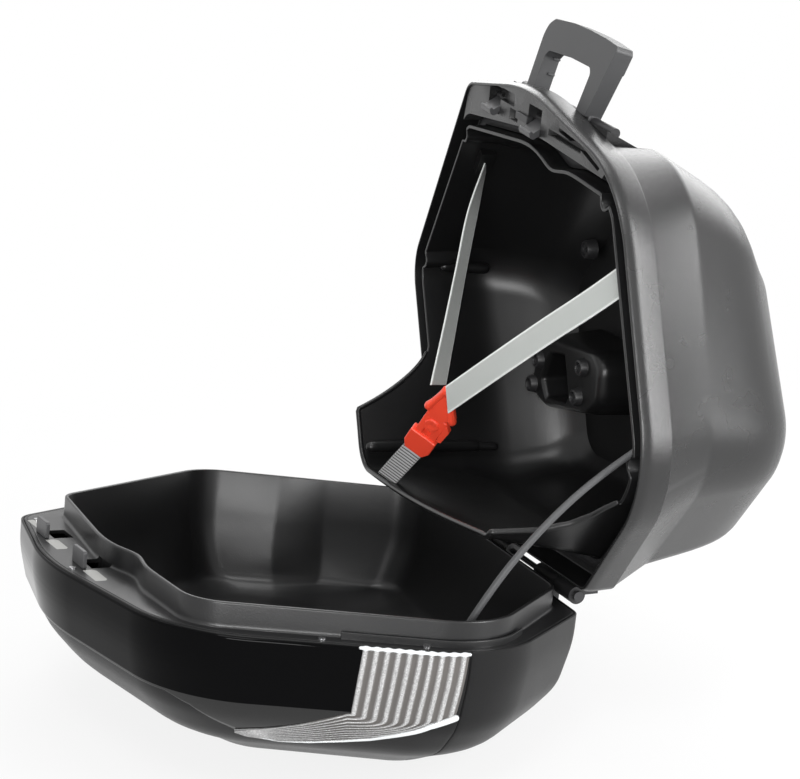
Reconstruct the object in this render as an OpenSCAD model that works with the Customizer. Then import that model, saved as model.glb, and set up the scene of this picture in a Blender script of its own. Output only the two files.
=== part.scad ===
/* [Case] */
// length of the rim along the hinge
case_len = 488; // [476:2:500]
// height of the rim above the hinge axis
case_h = 404; // [396:2:412]
// depth of the bike-side shell behind the rim
base_depth = 150; // [146:1:156]
// depth of the outer shell below its rim
lid_depth = 108; // [106:1:112]
// wall thickness of both shells
wall = 3; // [2.6:0.1:3.4]
// opening angle at which the check cord stops the lid
open_angle = 84; // [80:1:86]

/* [Hinge] */
// distance of the hinge axis behind the rim plane
hinge_x = 6; // [5.5:0.1:6.5]
// outer radius of the hinge knuckles
knuckle_r = 7; // [6.5:0.1:7.2]
// radius of the hinge pin
pin_r = 2.5; // [2.2:0.1:2.8]
// radial clearance of the running fits
fit = 0.05; // [0.03:0.01:0.08]
// end gap between neighbouring knuckles
knuckle_gap = 0.6; // [0.4:0.1:0.8]

/* [Handle and latch] */
// slope of the handle axis along the top edge
latch_tilt = 14.5; // [13.5:0.5:15.5]
// backward lean of the raised handle
handle_lean = 14; // [10:1:18]
// reach of the handle above its axis
handle_reach = 62; // [58:1:64]
// width of the handle along its axis
handle_w = 150; // [146:1:152]
// radius of the handle and claw shafts
shaft_r = 4; // [3.6:0.1:4.2]
// distance between the two latch claws
claw_gap = 86; // [82:1:90]
// radius of the lock cylinder
lock_r = 7; // [6.5:0.1:7.5]

/* [Mount] */
// distance between the two rack sockets
socket_gap = 92; // [86:1:98]
// radius of each rack socket
socket_r = 6.5; // [6:0.1:7]
// depth of each rack socket
socket_l = 10; // [9:0.5:11]

/* [Straps and cord] */
// width of the elastic straps
strap_w = 20; // [18:1:22]
// thickness of the elastic straps
strap_t = 1.6; // [1.4:0.1:1.8]
// width of the pull webbing
web_w = 20; // [18:1:22]
// diameter of the check cord
cord_d = 5; // [4.5:0.5:5.5]

/* [Hidden] */
su = case_len / 488;
sz = case_h / 404;
ARC = 5;
MID = 4;
RIM0 = [[-165, 9, 15], [-259, 110, 70], [-202, 322, 45], [-36, 394.5, 250], [93, 404, 22],
        [244, 233, 50], [176, 9, 40]];
INN0 = [[-150, 33, 20], [-236, 115, 52], [-184, 303, 30], [-30, 346, 200], [97, 362, 12],
        [220, 230, 34], [160, 33, 25]];
TRAY0 = [[-147, 66, 20], [-222, 117, 44], [-184, 303, 30], [-30, 346, 200], [97, 362, 12],
         [220, 230, 34], [150, 55, 25]];
BACK0 = [[-138, 34, 36], [-216, 118, 56], [-163, 262, 50], [-30, 296, 200], [62, 308, 40],
         [185, 215, 60], [140, 34, 44]];
FACE0 = [[-140, 65, 40], [-204, 126, 60], [-156, 276, 60], [-30, 326, 200], [66, 338, 40],
         [212, 222, 60], [160, 61, 50]];
// outer outlines of the bike-side shell behind the rim band
BAND0 = [[-164, 9, 15], [-255, 110, 68], [-199, 319, 44], [-36, 391, 248], [92, 401, 21],
         [240, 232, 49], [175, 9, 40]];
STEP0 = [[-163, 9.6, 15], [-254, 110.5, 67], [-195, 303, 40], [-30, 349, 200], [95, 366, 13],
         [239, 231.5, 48], [174, 9.6, 40]];
WAIST0 = [[-141, 17, 25], [-242, 121, 50], [-186, 299, 40], [-30, 341, 200], [93, 356, 16],
          [231, 230, 48], [162, 17, 40]];
REAR0 = [[-142, 27, 28], [-227, 116.5, 54], [-174.5, 284.5, 39], [-30, 323.5, 200],
         [81, 337.5, 25], [204.5, 223.5, 46], [150, 27, 35]];
function sc(c) = [for (q = c) [q[0] * su, q[1] * sz, q[2]]];
RIM = sc(RIM0);
INN = sc(INN0);
TRAY = sc(TRAY0);
BACK = sc(BACK0);
FACE = sc(FACE0);
BAND = sc(BAND0);
STEP = sc(STEP0);
WAIST = sc(WAIST0);
REAR = sc(REAR0);
function unit(v) = v / norm(v);
function nrm(a, b) = let (d = unit([b[0] - a[0], b[1] - a[1]])) [d[1], -d[0]];
function cyc(c, i) = c[(i + len(c)) % len(c)];
// moves every side of a corner list inwards by d
function inset(c, d) = [for (i = [0 : len(c) - 1])
    let (n1 = nrm(cyc(c, i - 1), c[i]), n2 = nrm(c[i], cyc(c, i + 1)),
         m = (n1 + n2) * (d / (1 + n1 * n2)))
    [c[i][0] + m[0], c[i][1] + m[1], max(c[i][2] - d, 3)]];
function mixc(a, b, w) = [for (i = [0 : len(a) - 1]) a[i] * (1 - w) + b[i] * w];
function tang(c, i) = let (p = cyc(c, i - 1), v = c[i], n = cyc(c, i + 1),
    d1 = unit([p[0] - v[0], p[1] - v[1]]), d2 = unit([n[0] - v[0], n[1] - v[1]]),
    h = acos(d1 * d2) / 2, t = v[2] / tan(h), b = unit(d1 + d2), k = v[2] / sin(h))
    [[v[0] + d1[0] * t, v[1] + d1[1] * t], [v[0] + d2[0] * t, v[1] + d2[1] * t],
     [v[0] + b[0] * k, v[1] + b[1] * k]];
function wrap(a) = a > 180 ? a - 360 : (a < -180 ? a + 360 : a);
function arcp(t, r, k) = let (a1 = atan2(t[0][1] - t[2][1], t[0][0] - t[2][0]),
    a2 = atan2(t[1][1] - t[2][1], t[1][0] - t[2][0]), a = a1 + wrap(a2 - a1) * k / ARC)
    [t[2][0] + r * cos(a), t[2][1] + r * sin(a)];
// rounded outline of a corner list with points along its straight sides
function outline(c) = [for (i = [0 : len(c) - 1])
    let (t = tang(c, i), t2 = tang(c, (i + 1) % len(c)))
    for (k = [0 : ARC + MID])
        k <= ARC ? arcp(t, c[i][2], k)
                 : t[1] + (t2[0] - t[1]) * ((k - ARC) / (MID + 1))];
NP = len(RIM0) * (ARC + MID + 1);
function ring(c, x) = [for (p = outline(c)) [x, p[0], p[1]]];
function quads(k, n, a, b) = [for (i = [0 : n - 1]) each
    let (p = a * n + i, q = a * n + (i + 1) % n, r = b * n + (i + 1) % n, s = b * n + i)
    [[p, q, r], [p, r, s]]];
function mean(r, i = 0, a = [0, 0, 0]) = i == len(r) ? a / len(r) : mean(r, i + 1, a + r[i]);
// solid through a row of rings, closed by a flat face at both ends
module loft(rings) {
    n = len(rings[0]);
    m = len(rings);
    c0 = mean(rings[0]);
    c1 = mean(rings[m - 1]);
    pts = concat([for (r = rings) each r], [c0, c1]);
    side = [for (k = [0 : m - 2]) each quads(k, n, k, k + 1)];
    cap0 = [for (i = [0 : n - 1]) [(i + 1) % n, i, m * n]];
    cap1 = [for (i = [0 : n - 1]) [(m - 1) * n + i, (m - 1) * n + (i + 1) % n, m * n + 1]];
    polyhedron(points = pts, faces = concat(cap0, side, cap1), convexity = 8);
}
// ring-shaped solid through a closed row of rings
module hoop(rings) {
    n = len(rings[0]);
    m = len(rings);
    pts = [for (r = rings) each r];
    side = [for (k = [0 : m - 1]) each quads(k, n, k, (k + 1) % m)];
    polyhedron(points = pts, faces = side, convexity = 8);
}
// patch solid from two grids of points, outer grid first
module patch(g1, g2) {
    a = len(g1);
    b = len(g1[0]);
    o = a * b;
    pts = concat([for (r = g1) each r], [for (r = g2) each r]);
    top = [for (i = [0 : a - 2]) for (j = [0 : b - 2]) each
        let (p = i * b + j, q = p + b) [[p, p + 1, q + 1], [p, q + 1, q]]];
    bot = [for (f = top) [f[2] + o, f[1] + o, f[0] + o]];
    e1 = [for (j = [0 : b - 2]) each [[j, o + j, o + j + 1], [j, o + j + 1, j + 1]]];
    e2 = [for (j = [0 : b - 2]) let (s = (a - 1) * b) each
        [[s + j + 1, s + o + j + 1, s + o + j], [s + j + 1, s + o + j, s + j]]];
    e3 = [for (i = [0 : a - 2]) let (p = i * b, q = (i + 1) * b) each
        [[q, q + o, p + o], [q, p + o, p]]];
    e4 = [for (i = [0 : a - 2]) let (p = i * b + b - 1, q = (i + 1) * b + b - 1) each
        [[p, p + o, q + o], [p, q + o, q]]];
    polyhedron(points = pts, faces = concat(top, bot, e1, e2, e3, e4), convexity = 6);
}
// flat strip of width w and thickness t along points, w set out along side vectors
function strip(p, s, w, t) = [for (i = [0 : len(p) - 1])
    let (d = unit(p[min(i + 1, len(p) - 1)] - p[max(i - 1, 0)]), b = unit(s[i] - d * (s[i] * d)),
         n = cross(d, b))
    [p[i] - b * w / 2 - n * t / 2, p[i] + b * w / 2 - n * t / 2,
     p[i] + b * w / 2 + n * t / 2, p[i] - b * w / 2 + n * t / 2]];
// round tube along points
function tube(p, r, n) = [for (i = [0 : len(p) - 1])
    let (d = unit(p[min(i + 1, len(p) - 1)] - p[max(i - 1, 0)]), b = unit(cross(d, [0.1, 1, 0.2])),
         c = cross(b, d))
    [for (k = [0 : n - 1]) p[i] + b * r * cos(k * 360 / n) + c * r * sin(k * 360 / n)]];
mount_x = base_depth + 14;
mount_z = 190 * sz;
module place() translate([-mount_x, 0, -mount_z]) children();
module lidpose() translate([hinge_x, 0, 0]) rotate([0, -open_angle, 0])
    translate([-hinge_x, 0, 0]) children();
latch_x = 34;
latch_u = -30 * su;
latch_z = 378 * sz;
module latchframe() translate([latch_x, latch_u, latch_z]) rotate([latch_tilt, 0, 0]) children();
// how far the retaining wall stands out at a point of the inner outline
function near_w(p) = p[0] < 0 ? min(max((94 * sz - p[1]) / (36 * sz), 0), 1) : 0;
function far_w(p) = p[0] >= 0 ? pow(min(max((152 * sz - p[1]) / (68 * sz), 0), 1), 1.5) : 0;
function tray_w(p) = near_w(p) + far_w(p);
tray_out = 75;
function trayring(d, back) = let (a = outline(inset(INN, d)), b = outline(inset(TRAY, d)))
    [for (i = [0 : NP - 1]) let (w = tray_w(a[i]))
        [2 + back - (tray_out + 2) * w,
         a[i][0] * (1 - w) + b[i][0] * w, a[i][1] * (1 - w) + b[i][1] * w]];
skirt = 22;
rim_gap = 0.4;
lip_h = 17.4;
function rev(v) = [for (i = [len(v) - 1 : -1 : 0]) v[i]];
module along_x() rotate([90, 0, 90]) children();
// lid surface rings, moved outwards by e
function lidrings(e) = [ring(inset(RIM, -e), -rim_gap), ring(inset(RIM, -e), -22),
    ring(inset(mixc(RIM, FACE, 0.13), -e), -58), ring(inset(mixc(RIM, FACE, 0.48), -e), -84),
    ring(inset(FACE, -e), 10 - lid_depth), ring(inset(FACE, 18 - e), -lid_depth - e)];
function at(r, s) = let (i = floor(s), f = s - i) r[i % NP] * (1 - f) + r[(i + 1) % NP] * f;
function surf(q, s, k) = let (j = min(floor(k), len(q) - 2), f = k - j)
    at(q[j], s) * (1 - f) + at(q[j + 1], s) * f;
function klist(a, b) = a < 1 && b > 2 ? [a, 0.5, 1, 1.5, 2, b]
    : [for (j = [0 : 5]) a + (b - a) * j / 5];
function grid(q, s0, s1, n, top, bot) = [for (i = [0 : n]) let (s = s0 + (s1 - s0) * i / n)
    [for (k = klist(top[i], bot[i])) surf(q, s, k)]];
hole_r = pin_r + fit;
// start and end of the hinge knuckles along the pin
KB = [[-142, -112], [-16, 16], [112, 142]];
KL = [[-112, -74], [16, 54], [74, 112]];
module ycyl(u0, u1, r) translate([0, u0, 0]) rotate([-90, 0, 0])
    cylinder(r = r, h = u1 - u0, $fn = 40);
CLAWS = [20 - claw_gap / 2, 20 + claw_gap / 2];
claw_x = 12 - latch_x;
claw_z = -9;
module pockets() latchframe() for (y = CLAWS) translate([-44, y - 13, -20]) cube([60, 26, 22.4]);
function part_of(p, a, b) = [for (i = [a : b]) p[i]];
function back_of(p, a, b) = [for (i = [0 : b - a]) p[b - i]];
// area of the latch plateau between the rim and the inner wall
PLATEAU = concat(part_of(outline(inset(RIM, 4)), 25, 44),
                 back_of(outline(inset(INN, -13)), 25, 44));

module base_shell() color("#2b2c2e") place()
    loft([ring(inset(BACK, 12 + wall), base_depth - wall),
          ring(inset(BACK, wall), base_depth - 10 - wall),
          ring(inset(REAR, wall), 116),
          ring(inset(WAIST, wall), 64),
          ring(INN, skirt + wall),
          trayring(0, 0),
          trayring(-wall, 0),
          ring(inset(INN, -wall), skirt),
          ring(inset(RIM, 4), skirt),
          ring(inset(RIM, 4), 0),
          ring(inset(RIM, 2.5), 0),
          ring(inset(RIM, 1.5), 1),
          ring(RIM, 6),
          ring(BAND, skirt + wall),
          ring(STEP, skirt + wall + 0.1),
          ring(WAIST, 64),
          ring(REAR, 116 + wall),
          ring(BACK, base_depth - 10),
          ring(inset(BACK, 12), base_depth)]);
module rim_seal() color("#151515") place()
    hoop([ring(inset(INN, -wall - 8), skirt - 4), ring(inset(INN, -wall - 8), skirt),
          ring(inset(INN, -wall - 1), skirt), ring(inset(INN, -wall - 1), skirt - 4)]);
module latch_plate() color("#303133") place() difference() {
    translate([2, 0, 0]) along_x() linear_extrude(skirt - 2) polygon(PLATEAU);
    difference() {
        pockets();
        translate([skirt - 2, -300, 0]) cube([40, 600, 600]);
    }
    latchframe() translate([claw_x, 0, claw_z])
        ycyl(CLAWS[0] - 24, CLAWS[1] + 24, shaft_r - 1 + fit);
    latchframe() translate([-44, 10, -18]) cube([18, 18, 9]);
    latchframe() translate([-44, -112, -13]) cube([20, 60, 5]);
}
module claw(y) latchframe() translate([claw_x, y - 8, claw_z]) rotate([-90, 0, 0]) difference() {
    linear_extrude(16) union() {
        circle(r = 4.2, $fn = 40);
        polygon([[0, 4.1], [-14, 12.5], [-17, 10.8], [-18.2, 7.3],
                 [-16.5, 5.4], [-14.75, 7.2], [-2, -1]]);
    }
    translate([0, 0, -1]) cylinder(r = shaft_r - 1, h = 18, $fn = 40);
}
module claw_rear() color("#252628") place() claw(CLAWS[0]);
module claw_front() color("#252628") place() claw(CLAWS[1]);
module claw_shaft() color("#8d8f92") place()
    latchframe() translate([claw_x, 0, claw_z]) ycyl(CLAWS[0] - 22, CLAWS[1] + 22, shaft_r - 1);
// middle of the handle along its axis
hc = -22;
fold = 26;
module handle_housing() color("#2e2f31") place() latchframe() difference() {
    translate([0, 80, 0]) rotate([90, 0, 0]) linear_extrude(185)
        polygon([[skirt + wall + 0.1 - latch_x, 3], [skirt + wall + 0.1 - latch_x, -27], [30, -33.5],
                 [74, -47], [74, -36]]);
    translate([0, hc + handle_w / 2 + 1, 0]) rotate([90, 0, 0]) linear_extrude(handle_w + 2) union() {
        circle(r = 8.65, $fn = 64);
        rotate(-fold) translate([0, -7]) square([handle_reach + 4, 40]);
    }
    ycyl(-103, 78, shaft_r + fit);
    rotate([0, fold, 0]) translate([34, hc, -14]) cylinder(r = lock_r + 2.5, h = 30, $fn = 48);
}
module handle_shape() difference() {
    polygon([[-handle_w / 2, -5.7], [-handle_w / 2, handle_reach - 16],
             [-handle_w / 2 + 9, handle_reach - 3],
             [-handle_w / 2 + 20, handle_reach], [handle_w / 2 - 20, handle_reach],
             [handle_w / 2 - 9, handle_reach - 3], [handle_w / 2, handle_reach - 16], [handle_w / 2, -5.7]]);
    polygon([[-handle_w / 2 + 25, -8], [-handle_w / 2 + 22, handle_reach - 26],
             [-handle_w / 2 + 30, handle_reach - 20], [handle_w / 2 - 30, handle_reach - 20],
             [handle_w / 2 - 22, handle_reach - 26], [handle_w / 2 - 25, -8]]);
}
module handle() color("#3a3b3e") place() latchframe() rotate([0, handle_lean, 0]) difference() {
    translate([-6, hc, 0]) along_x() linear_extrude(12) handle_shape();
    ycyl(-103, 78, shaft_r);
}
module handle_shaft() color("#8d8f92") place() latchframe() ycyl(-101, 76, shaft_r);
module lock_sleeve() color("#75777a") place()
    latchframe() rotate([0, fold, 0]) translate([34, hc, -14]) difference() {
        cylinder(r = lock_r + 2.5, h = 7.4, $fn = 48);
        translate([0, 0, 2]) cylinder(r = lock_r + fit, h = 20, $fn = 48);
    }
module lock_cylinder() color("#b9bbbe") place()
    latchframe() rotate([0, fold, 0]) translate([34, hc, -11.7]) difference() {
        cylinder(r = lock_r, h = 5.4, $fn = 48);
        translate([-4, -0.8, 1.4]) cube([8, 1.6, 8]);
    }
module hinge_leaf_base() color("#232426") place() difference() {
    union() {
        translate([8, KB[0][0], 7.6]) cube([16, KB[2][1] - KB[0][0], 1.4]);
        for (k = KB) {
            translate([hinge_x, k[0] + knuckle_gap / 2, 0]) cube([18, k[1] - k[0] - knuckle_gap, 9]);
            translate([hinge_x, 0, 0]) ycyl(k[0] + knuckle_gap / 2, k[1] - knuckle_gap / 2, knuckle_r);
        }
    }
    translate([hinge_x, 0, 0]) ycyl(-150, 150, pin_r);
}
module hinge_leaf_lid() color("#232426") place() lidpose() difference() {
    union() {
        translate([-20, KL[0][0] - 20, 7.6]) cube([18, KL[2][1] - KL[0][0] + 40, 1.4]);
        for (k = KL) {
            translate([-16, k[0] + knuckle_gap / 2, 0]) cube([16 + hinge_x, k[1] - k[0] - knuckle_gap, 9]);
            translate([hinge_x, 0, 0]) ycyl(k[0] + knuckle_gap / 2, k[1] - knuckle_gap / 2, knuckle_r);
        }
    }
    translate([hinge_x, 0, 0]) ycyl(-150, 150, hole_r);
}
module hinge_pin() color("#9a9c9f") place() translate([hinge_x, 0, 0]) union() {
    ycyl(-143.5, 143.5, pin_r);
    ycyl(-145.5, -142, pin_r + 1.6);
    ycyl(142, 145.5, pin_r + 1.6);
}
plate_t = mount_x - base_depth;
module mount_plate() color("#1f2022") place() difference() {
    translate([base_depth, 0, mount_z]) along_x() linear_extrude(plate_t)
        polygon([[-78, -24], [-64, -38], [64, -38], [78, -24], [78, 24], [64, 38], [-64, 38], [-78, 24]]);
    for (y = [-socket_gap / 2, socket_gap / 2])
        translate([mount_x - socket_l, y, mount_z]) rotate([0, 90, 0])
            cylinder(r = socket_r, h = socket_l + 5, $fn = 64);
    translate([base_depth + 4, -9.2, mount_z - 50]) cube([6.4, 18.4, 36.2]);
    translate([base_depth + 4, -4, mount_z - 50]) cube([20, 8, 34]);
}
module rack_bolt() color("#a5a7aa") place() union() {
    translate([base_depth + 4.2, -9, mount_z - 46]) cube([6, 18, 24]);
    translate([base_depth + 10, -3.7, mount_z - 36]) cube([3.4, 7.4, 10]);
}
SCREWS = [[-60, 24], [60, 24], [-60, -24], [8, -24]];
module mount_screws() color("#6d6f72") place() for (q = SCREWS)
    translate([base_depth - wall, q[0], mount_z + q[1]]) rotate([0, -90, 0]) difference() {
        cylinder(r = 5, h = 4, $fn = 32);
        translate([0, 0, 1.5]) cylinder(r = 2.3, h = 4, $fn = 6);
    }
module mount_housing() color("#2d2e30") place() hull() {
    translate([base_depth - wall - 1, 26 * su, 86 * sz]) cube([1, 110, 80]);
    translate([base_depth - wall - 34, 40 * su, 98 * sz]) cube([1, 98, 56]);
}
BOLTS = [[48, 144], [56, 110], [128, 108], [128, 142]];
module housing_screws() color("#85878a") place() for (q = BOLTS)
    translate([base_depth - wall - 34, 40 * su + q[0] - 40, 98 * sz + q[1] - 98]) rotate([0, -90, 0]) difference() {
        cylinder(r = 5, h = 3, $fn = 32);
        translate([0, 0, 1]) cylinder(r = 2.3, h = 4, $fn = 6);
    }
// route of the check cord from the base wall to the lid wall
CORD0 = [[10, -226, 134], [-14, -225, 119], [-38, -223, 101], [-62, -221, 79], [-84, -218, 54],
         [-102, -214, 28], [-114, -211, 8], [-122, -209, -10]];
// moves a point with the length and height of the case
function fitted(p) = [p[0], p[1] * su, p[2] * sz];
CORD = [for (p = CORD0) fitted(p)];
module check_cord() color("#8b8d90") place() loft(tube(CORD, cord_d / 2, 8));
module cord_anchor_base() color("#222325") place()
    translate(fitted([10, -226, 134])) rotate([0, 118, 0]) cylinder(r = 5.5, h = 9, $fn = 32);
module cord_anchor_lid() color("#222325") place()
    translate(fitted([-122.4, -209, -11])) rotate([0, 200, 0]) cylinder(r = 5.5, h = 8, $fn = 32);
RING = fitted([-60, -14, 134]);
LIPP = fitted([-78, 64, 58]);
SF0 = [[28, 117, 329], [6, 92, 286], [-16, 61, 239], [-38, 30, 190], [-58, 2, 146]];
SFD = [[0.1, 0.7, -0.7], [0.15, 0.8, -0.4], [0.25, 0.8, 0], [0.4, 0.8, 0], [0.5, 0.8, 0]];
SR0 = [[36, -191, 265], [10, -152, 232], [-14, -112, 202], [-38, -72, 172], [-58, -38, 146]];
SRD = [[0, 0, 1], [0, 0, 1], [-0.1, 0.1, 1], [-0.3, 0.2, 0.9], [-0.5, 0.25, 0.8]];
SF = [for (p = SF0) fitted(p)];
SR = [for (p = SR0) fitted(p)];
module strap_front() color("#8f9194") place() loft(rev(strip(SF, SFD, strap_w, strap_t)));
module strap_rear() color("#8f9194") place() loft(rev(strip(SR, SRD, strap_w, strap_t)));
module strap_anchor_front() color("#1d1e20") place()
    translate(fitted([28, 119.2, 332.4])) rotate([43, 0, 0]) cube([14, 8, 24], center = true);
module strap_anchor_rear() color("#1d1e20") place()
    translate(fitted([36, -193, 263.6])) rotate([-15.5, 0, 0]) cube([14, 8, 26], center = true);
ea = unit(LIPP - RING);
ev = unit([-0.32, -0.92, 0.21]);
en = unit(ev - ea * (ev * ea));
eb = cross(en, -ea);
module buckleframe() multmatrix([[-eb[0], -ea[0], en[0], RING[0]],
    [-eb[1], -ea[1], en[1], RING[1]], [-eb[2], -ea[2], en[2], RING[2]]]) children();
module buckle_ring() color("#d8331f") place()
    buckleframe() translate([0, 0, -3]) linear_extrude(6) difference() {
        polygon([[-14, 12], [-15, 6], [-9, -16], [9, -16], [15, 6], [14, 12]]);
        polygon([[-11, 7], [-4, -8], [4, -8], [11, 7]]);
    }
module buckle_socket() color("#d8331f") place() buckleframe() difference() {
    translate([0, 0, -5]) linear_extrude(10)
        polygon([[-12, -16], [-12, -52], [-10, -60], [10, -60], [12, -52], [12, -16]]);
    translate([-6.5, -44, -1]) cube([13, 22, 10]);
}
module buckle_tab() color("#e23a24") place()
    buckleframe() translate([-6, -43.5, 2.2]) cube([12, 21, 2.4]);
WEB = [for (t = [0.5, 0.62, 0.74, 0.86, 0.98]) RING + (LIPP - RING) * t];
module pull_webbing() color("#c8c9cb") place()
    loft(rev(strip(WEB, [for (w = WEB) eb], web_w, 1.6)));
module lid_tub() color("#2c2d2f") place() lidpose() difference() {
    loft(rev([ring(inset(FACE, 20), 11 - lid_depth),
          ring(inset(FACE, 7), 18 - lid_depth),
          ring(inset(mixc(INN, FACE, 0.16), -5), -62),
          ring(inset(INN, -6), -36),
          ring(inset(INN, -6), lip_h),
          ring(inset(INN, -9), lip_h),
          ring(inset(INN, -9), -rim_gap),
          ring(inset(RIM, 3), -rim_gap),
          ring(inset(RIM, 3), -rim_gap - wall),
          ring(inset(INN, -9), -rim_gap - wall),
          ring(inset(INN, -9), -37),
          ring(inset(mixc(INN, FACE, 0.16), -8), -63),
          ring(inset(FACE, 4), 15 - lid_depth),
          ring(inset(FACE, 17), 8 - lid_depth)]));
    latchframe() for (y = CLAWS) translate([-latch_x - 8, y - 10, -24]) cube([10, 20, 15.9]);
}
module lid_cover() color("#262729") place() lidpose()
    loft(rev(concat([ring(inset(FACE, 18 + wall), wall - lid_depth),
          ring(inset(FACE, wall), 10 + wall - lid_depth),
          ring(inset(mixc(RIM, FACE, 0.48), wall), -82),
          ring(inset(mixc(RIM, FACE, 0.13), wall), -56),
          ring(inset(RIM, wall), -22),
          ring(inset(RIM, 3), -rim_gap)], lidrings(0))));
Q1 = lidrings(2.4);
Q0 = lidrings(0.4);
module gloss_panel() color("#0c0c0d") place() lidpose() {
    n = 44;
    a = [for (i = [0 : n]) 0.03];
    b = [for (i = [0 : n]) 2.001];
    patch(grid(Q1, 17.5, 46.2, n, a, b), grid(Q0, 17.5, 46.2, n, a, b));
}
LN = 30;
LT = [for (i = [0 : LN]) i < 11 ? 0.03 : (i == 11 ? 1 : 2.06)];
LB = [for (i = [0 : LN]) i < 16 ? 2.62 : 2.62 - 0.5 * (i - 16) / 14];
module reflector_lens() color("#d5d8db") place() lidpose()
    patch(grid(lidrings(2.9), 13.7, 23, LN, LT, LB),
          grid(lidrings(1.6), 13.7, 23, LN, LT, LB));
BT = [for (i = [0 : 10]) 0.06];
BB = [for (i = [0 : 10]) 2.5];
module reflector_back() color("#b0b2b5") place() lidpose()
    patch(grid(lidrings(0.95), 13.8, 16.7, 10, BT, BB), grid(Q0, 13.8, 16.7, 10, BT, BB));
module catch(y) latchframe() translate([-latch_x - rim_gap, y - 8, -4]) union() {
    cube([13, 16, 3.4]);
    translate([0, -3, -4]) cube([1.8, 22, 7.4]);
}
module lid_catch_rear() color("#2a2b2d") place() lidpose() catch(CLAWS[0]);
module lid_catch_front() color("#2a2b2d") place() lidpose() catch(CLAWS[1]);
PS = [[-220.5, 226], [-238.5, 158], [-62, 375.5], [80, 393]];
module panel_screws() color("#77797c") place() lidpose() for (q = PS)
    translate([-rim_gap, q[0] * su, q[1] * sz]) rotate([0, 90, 0]) cylinder(r = 2.6, h = 1, $fn = 32);
base_shell();
rim_seal();
latch_plate();
claw_rear();
claw_front();
claw_shaft();
handle_housing();
handle();
handle_shaft();
lock_sleeve();
lock_cylinder();
hinge_leaf_base();
hinge_leaf_lid();
hinge_pin();
mount_plate();
rack_bolt();
mount_screws();
mount_housing();
housing_screws();
check_cord();
cord_anchor_base();
cord_anchor_lid();
strap_front();
strap_rear();
strap_anchor_front();
strap_anchor_rear();
buckle_ring();
buckle_socket();
buckle_tab();
pull_webbing();
lid_tub();
lid_cover();
gloss_panel();
reflector_lens();
reflector_back();
lid_catch_rear();
lid_catch_front();
panel_screws();
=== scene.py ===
import math

import bmesh
import bpy
import numpy as np
from mathutils import Matrix, Vector


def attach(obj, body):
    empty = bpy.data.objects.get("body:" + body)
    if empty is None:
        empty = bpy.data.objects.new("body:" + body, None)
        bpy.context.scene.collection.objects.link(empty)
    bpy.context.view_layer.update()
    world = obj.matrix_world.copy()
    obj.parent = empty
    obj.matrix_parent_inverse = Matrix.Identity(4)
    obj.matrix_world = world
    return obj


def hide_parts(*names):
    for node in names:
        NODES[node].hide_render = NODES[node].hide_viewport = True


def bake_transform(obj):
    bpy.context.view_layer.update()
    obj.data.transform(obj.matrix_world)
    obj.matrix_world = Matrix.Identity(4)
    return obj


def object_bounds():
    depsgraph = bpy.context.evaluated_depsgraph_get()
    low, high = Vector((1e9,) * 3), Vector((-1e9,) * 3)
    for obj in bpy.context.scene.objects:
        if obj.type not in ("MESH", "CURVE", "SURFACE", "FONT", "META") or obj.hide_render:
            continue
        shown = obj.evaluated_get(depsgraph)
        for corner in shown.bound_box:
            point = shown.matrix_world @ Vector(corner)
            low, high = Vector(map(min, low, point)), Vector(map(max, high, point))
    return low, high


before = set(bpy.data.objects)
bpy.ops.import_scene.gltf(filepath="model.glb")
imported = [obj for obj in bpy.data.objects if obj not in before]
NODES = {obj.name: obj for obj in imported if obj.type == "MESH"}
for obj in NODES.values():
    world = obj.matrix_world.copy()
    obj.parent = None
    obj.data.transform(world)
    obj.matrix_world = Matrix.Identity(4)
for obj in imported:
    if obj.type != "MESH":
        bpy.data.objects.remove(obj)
CAD_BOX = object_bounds()
scene = bpy.context.scene

# camera at the photograph's viewing angle
AZ, EL, ROLL = (math.radians(a) for a in (-18.28, 9.61, 0.28))
CAM_AT = Vector((-0.6013, -1.04343, 0.14005))
FOCAL_MM, SENSOR_MM = 60.07, 36
back = Vector((math.sin(AZ) * math.cos(EL), -math.cos(AZ) * math.cos(EL), math.sin(EL)))
right = Vector((math.cos(AZ), math.sin(AZ), 0))
up = back.cross(right)
right2 = right * math.cos(ROLL) + up * math.sin(ROLL)
up2 = up * math.cos(ROLL) - right * math.sin(ROLL)
cam_data = bpy.data.cameras.new("camera")
cam_data.sensor_width, cam_data.lens = SENSOR_MM, FOCAL_MM
cam_data.clip_start, cam_data.clip_end = 0.01, 100
cam = bpy.data.objects.new("camera", cam_data)
scene.collection.objects.link(cam)
cam.matrix_world = Matrix.Translation(CAM_AT) @ Matrix((right2, up2, back)).transposed().to_4x4()
scene.camera = cam

# case frame: millimetres, x towards the bike from the rim, y along the hinge, z up from the hinge axis;
# row() turns case points into the part's metres, lid() turns points of the closed lid to its open place
MOUNT = np.array([164.0, 0.0, 190.0])
HINGE_X, OPEN = 6.0, math.radians(84)
CO, SO = math.cos(OPEN), math.sin(OPEN)


def row(p):
    return (np.asarray(p, float) - MOUNT) / 1000.0


def lid(p):
    p = np.asarray(p, float)
    x, z = p[..., 0] - HINGE_X, p[..., 2]
    return np.stack([x * CO - z * SO + HINGE_X, p[..., 1], x * SO + z * CO], -1)


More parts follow.
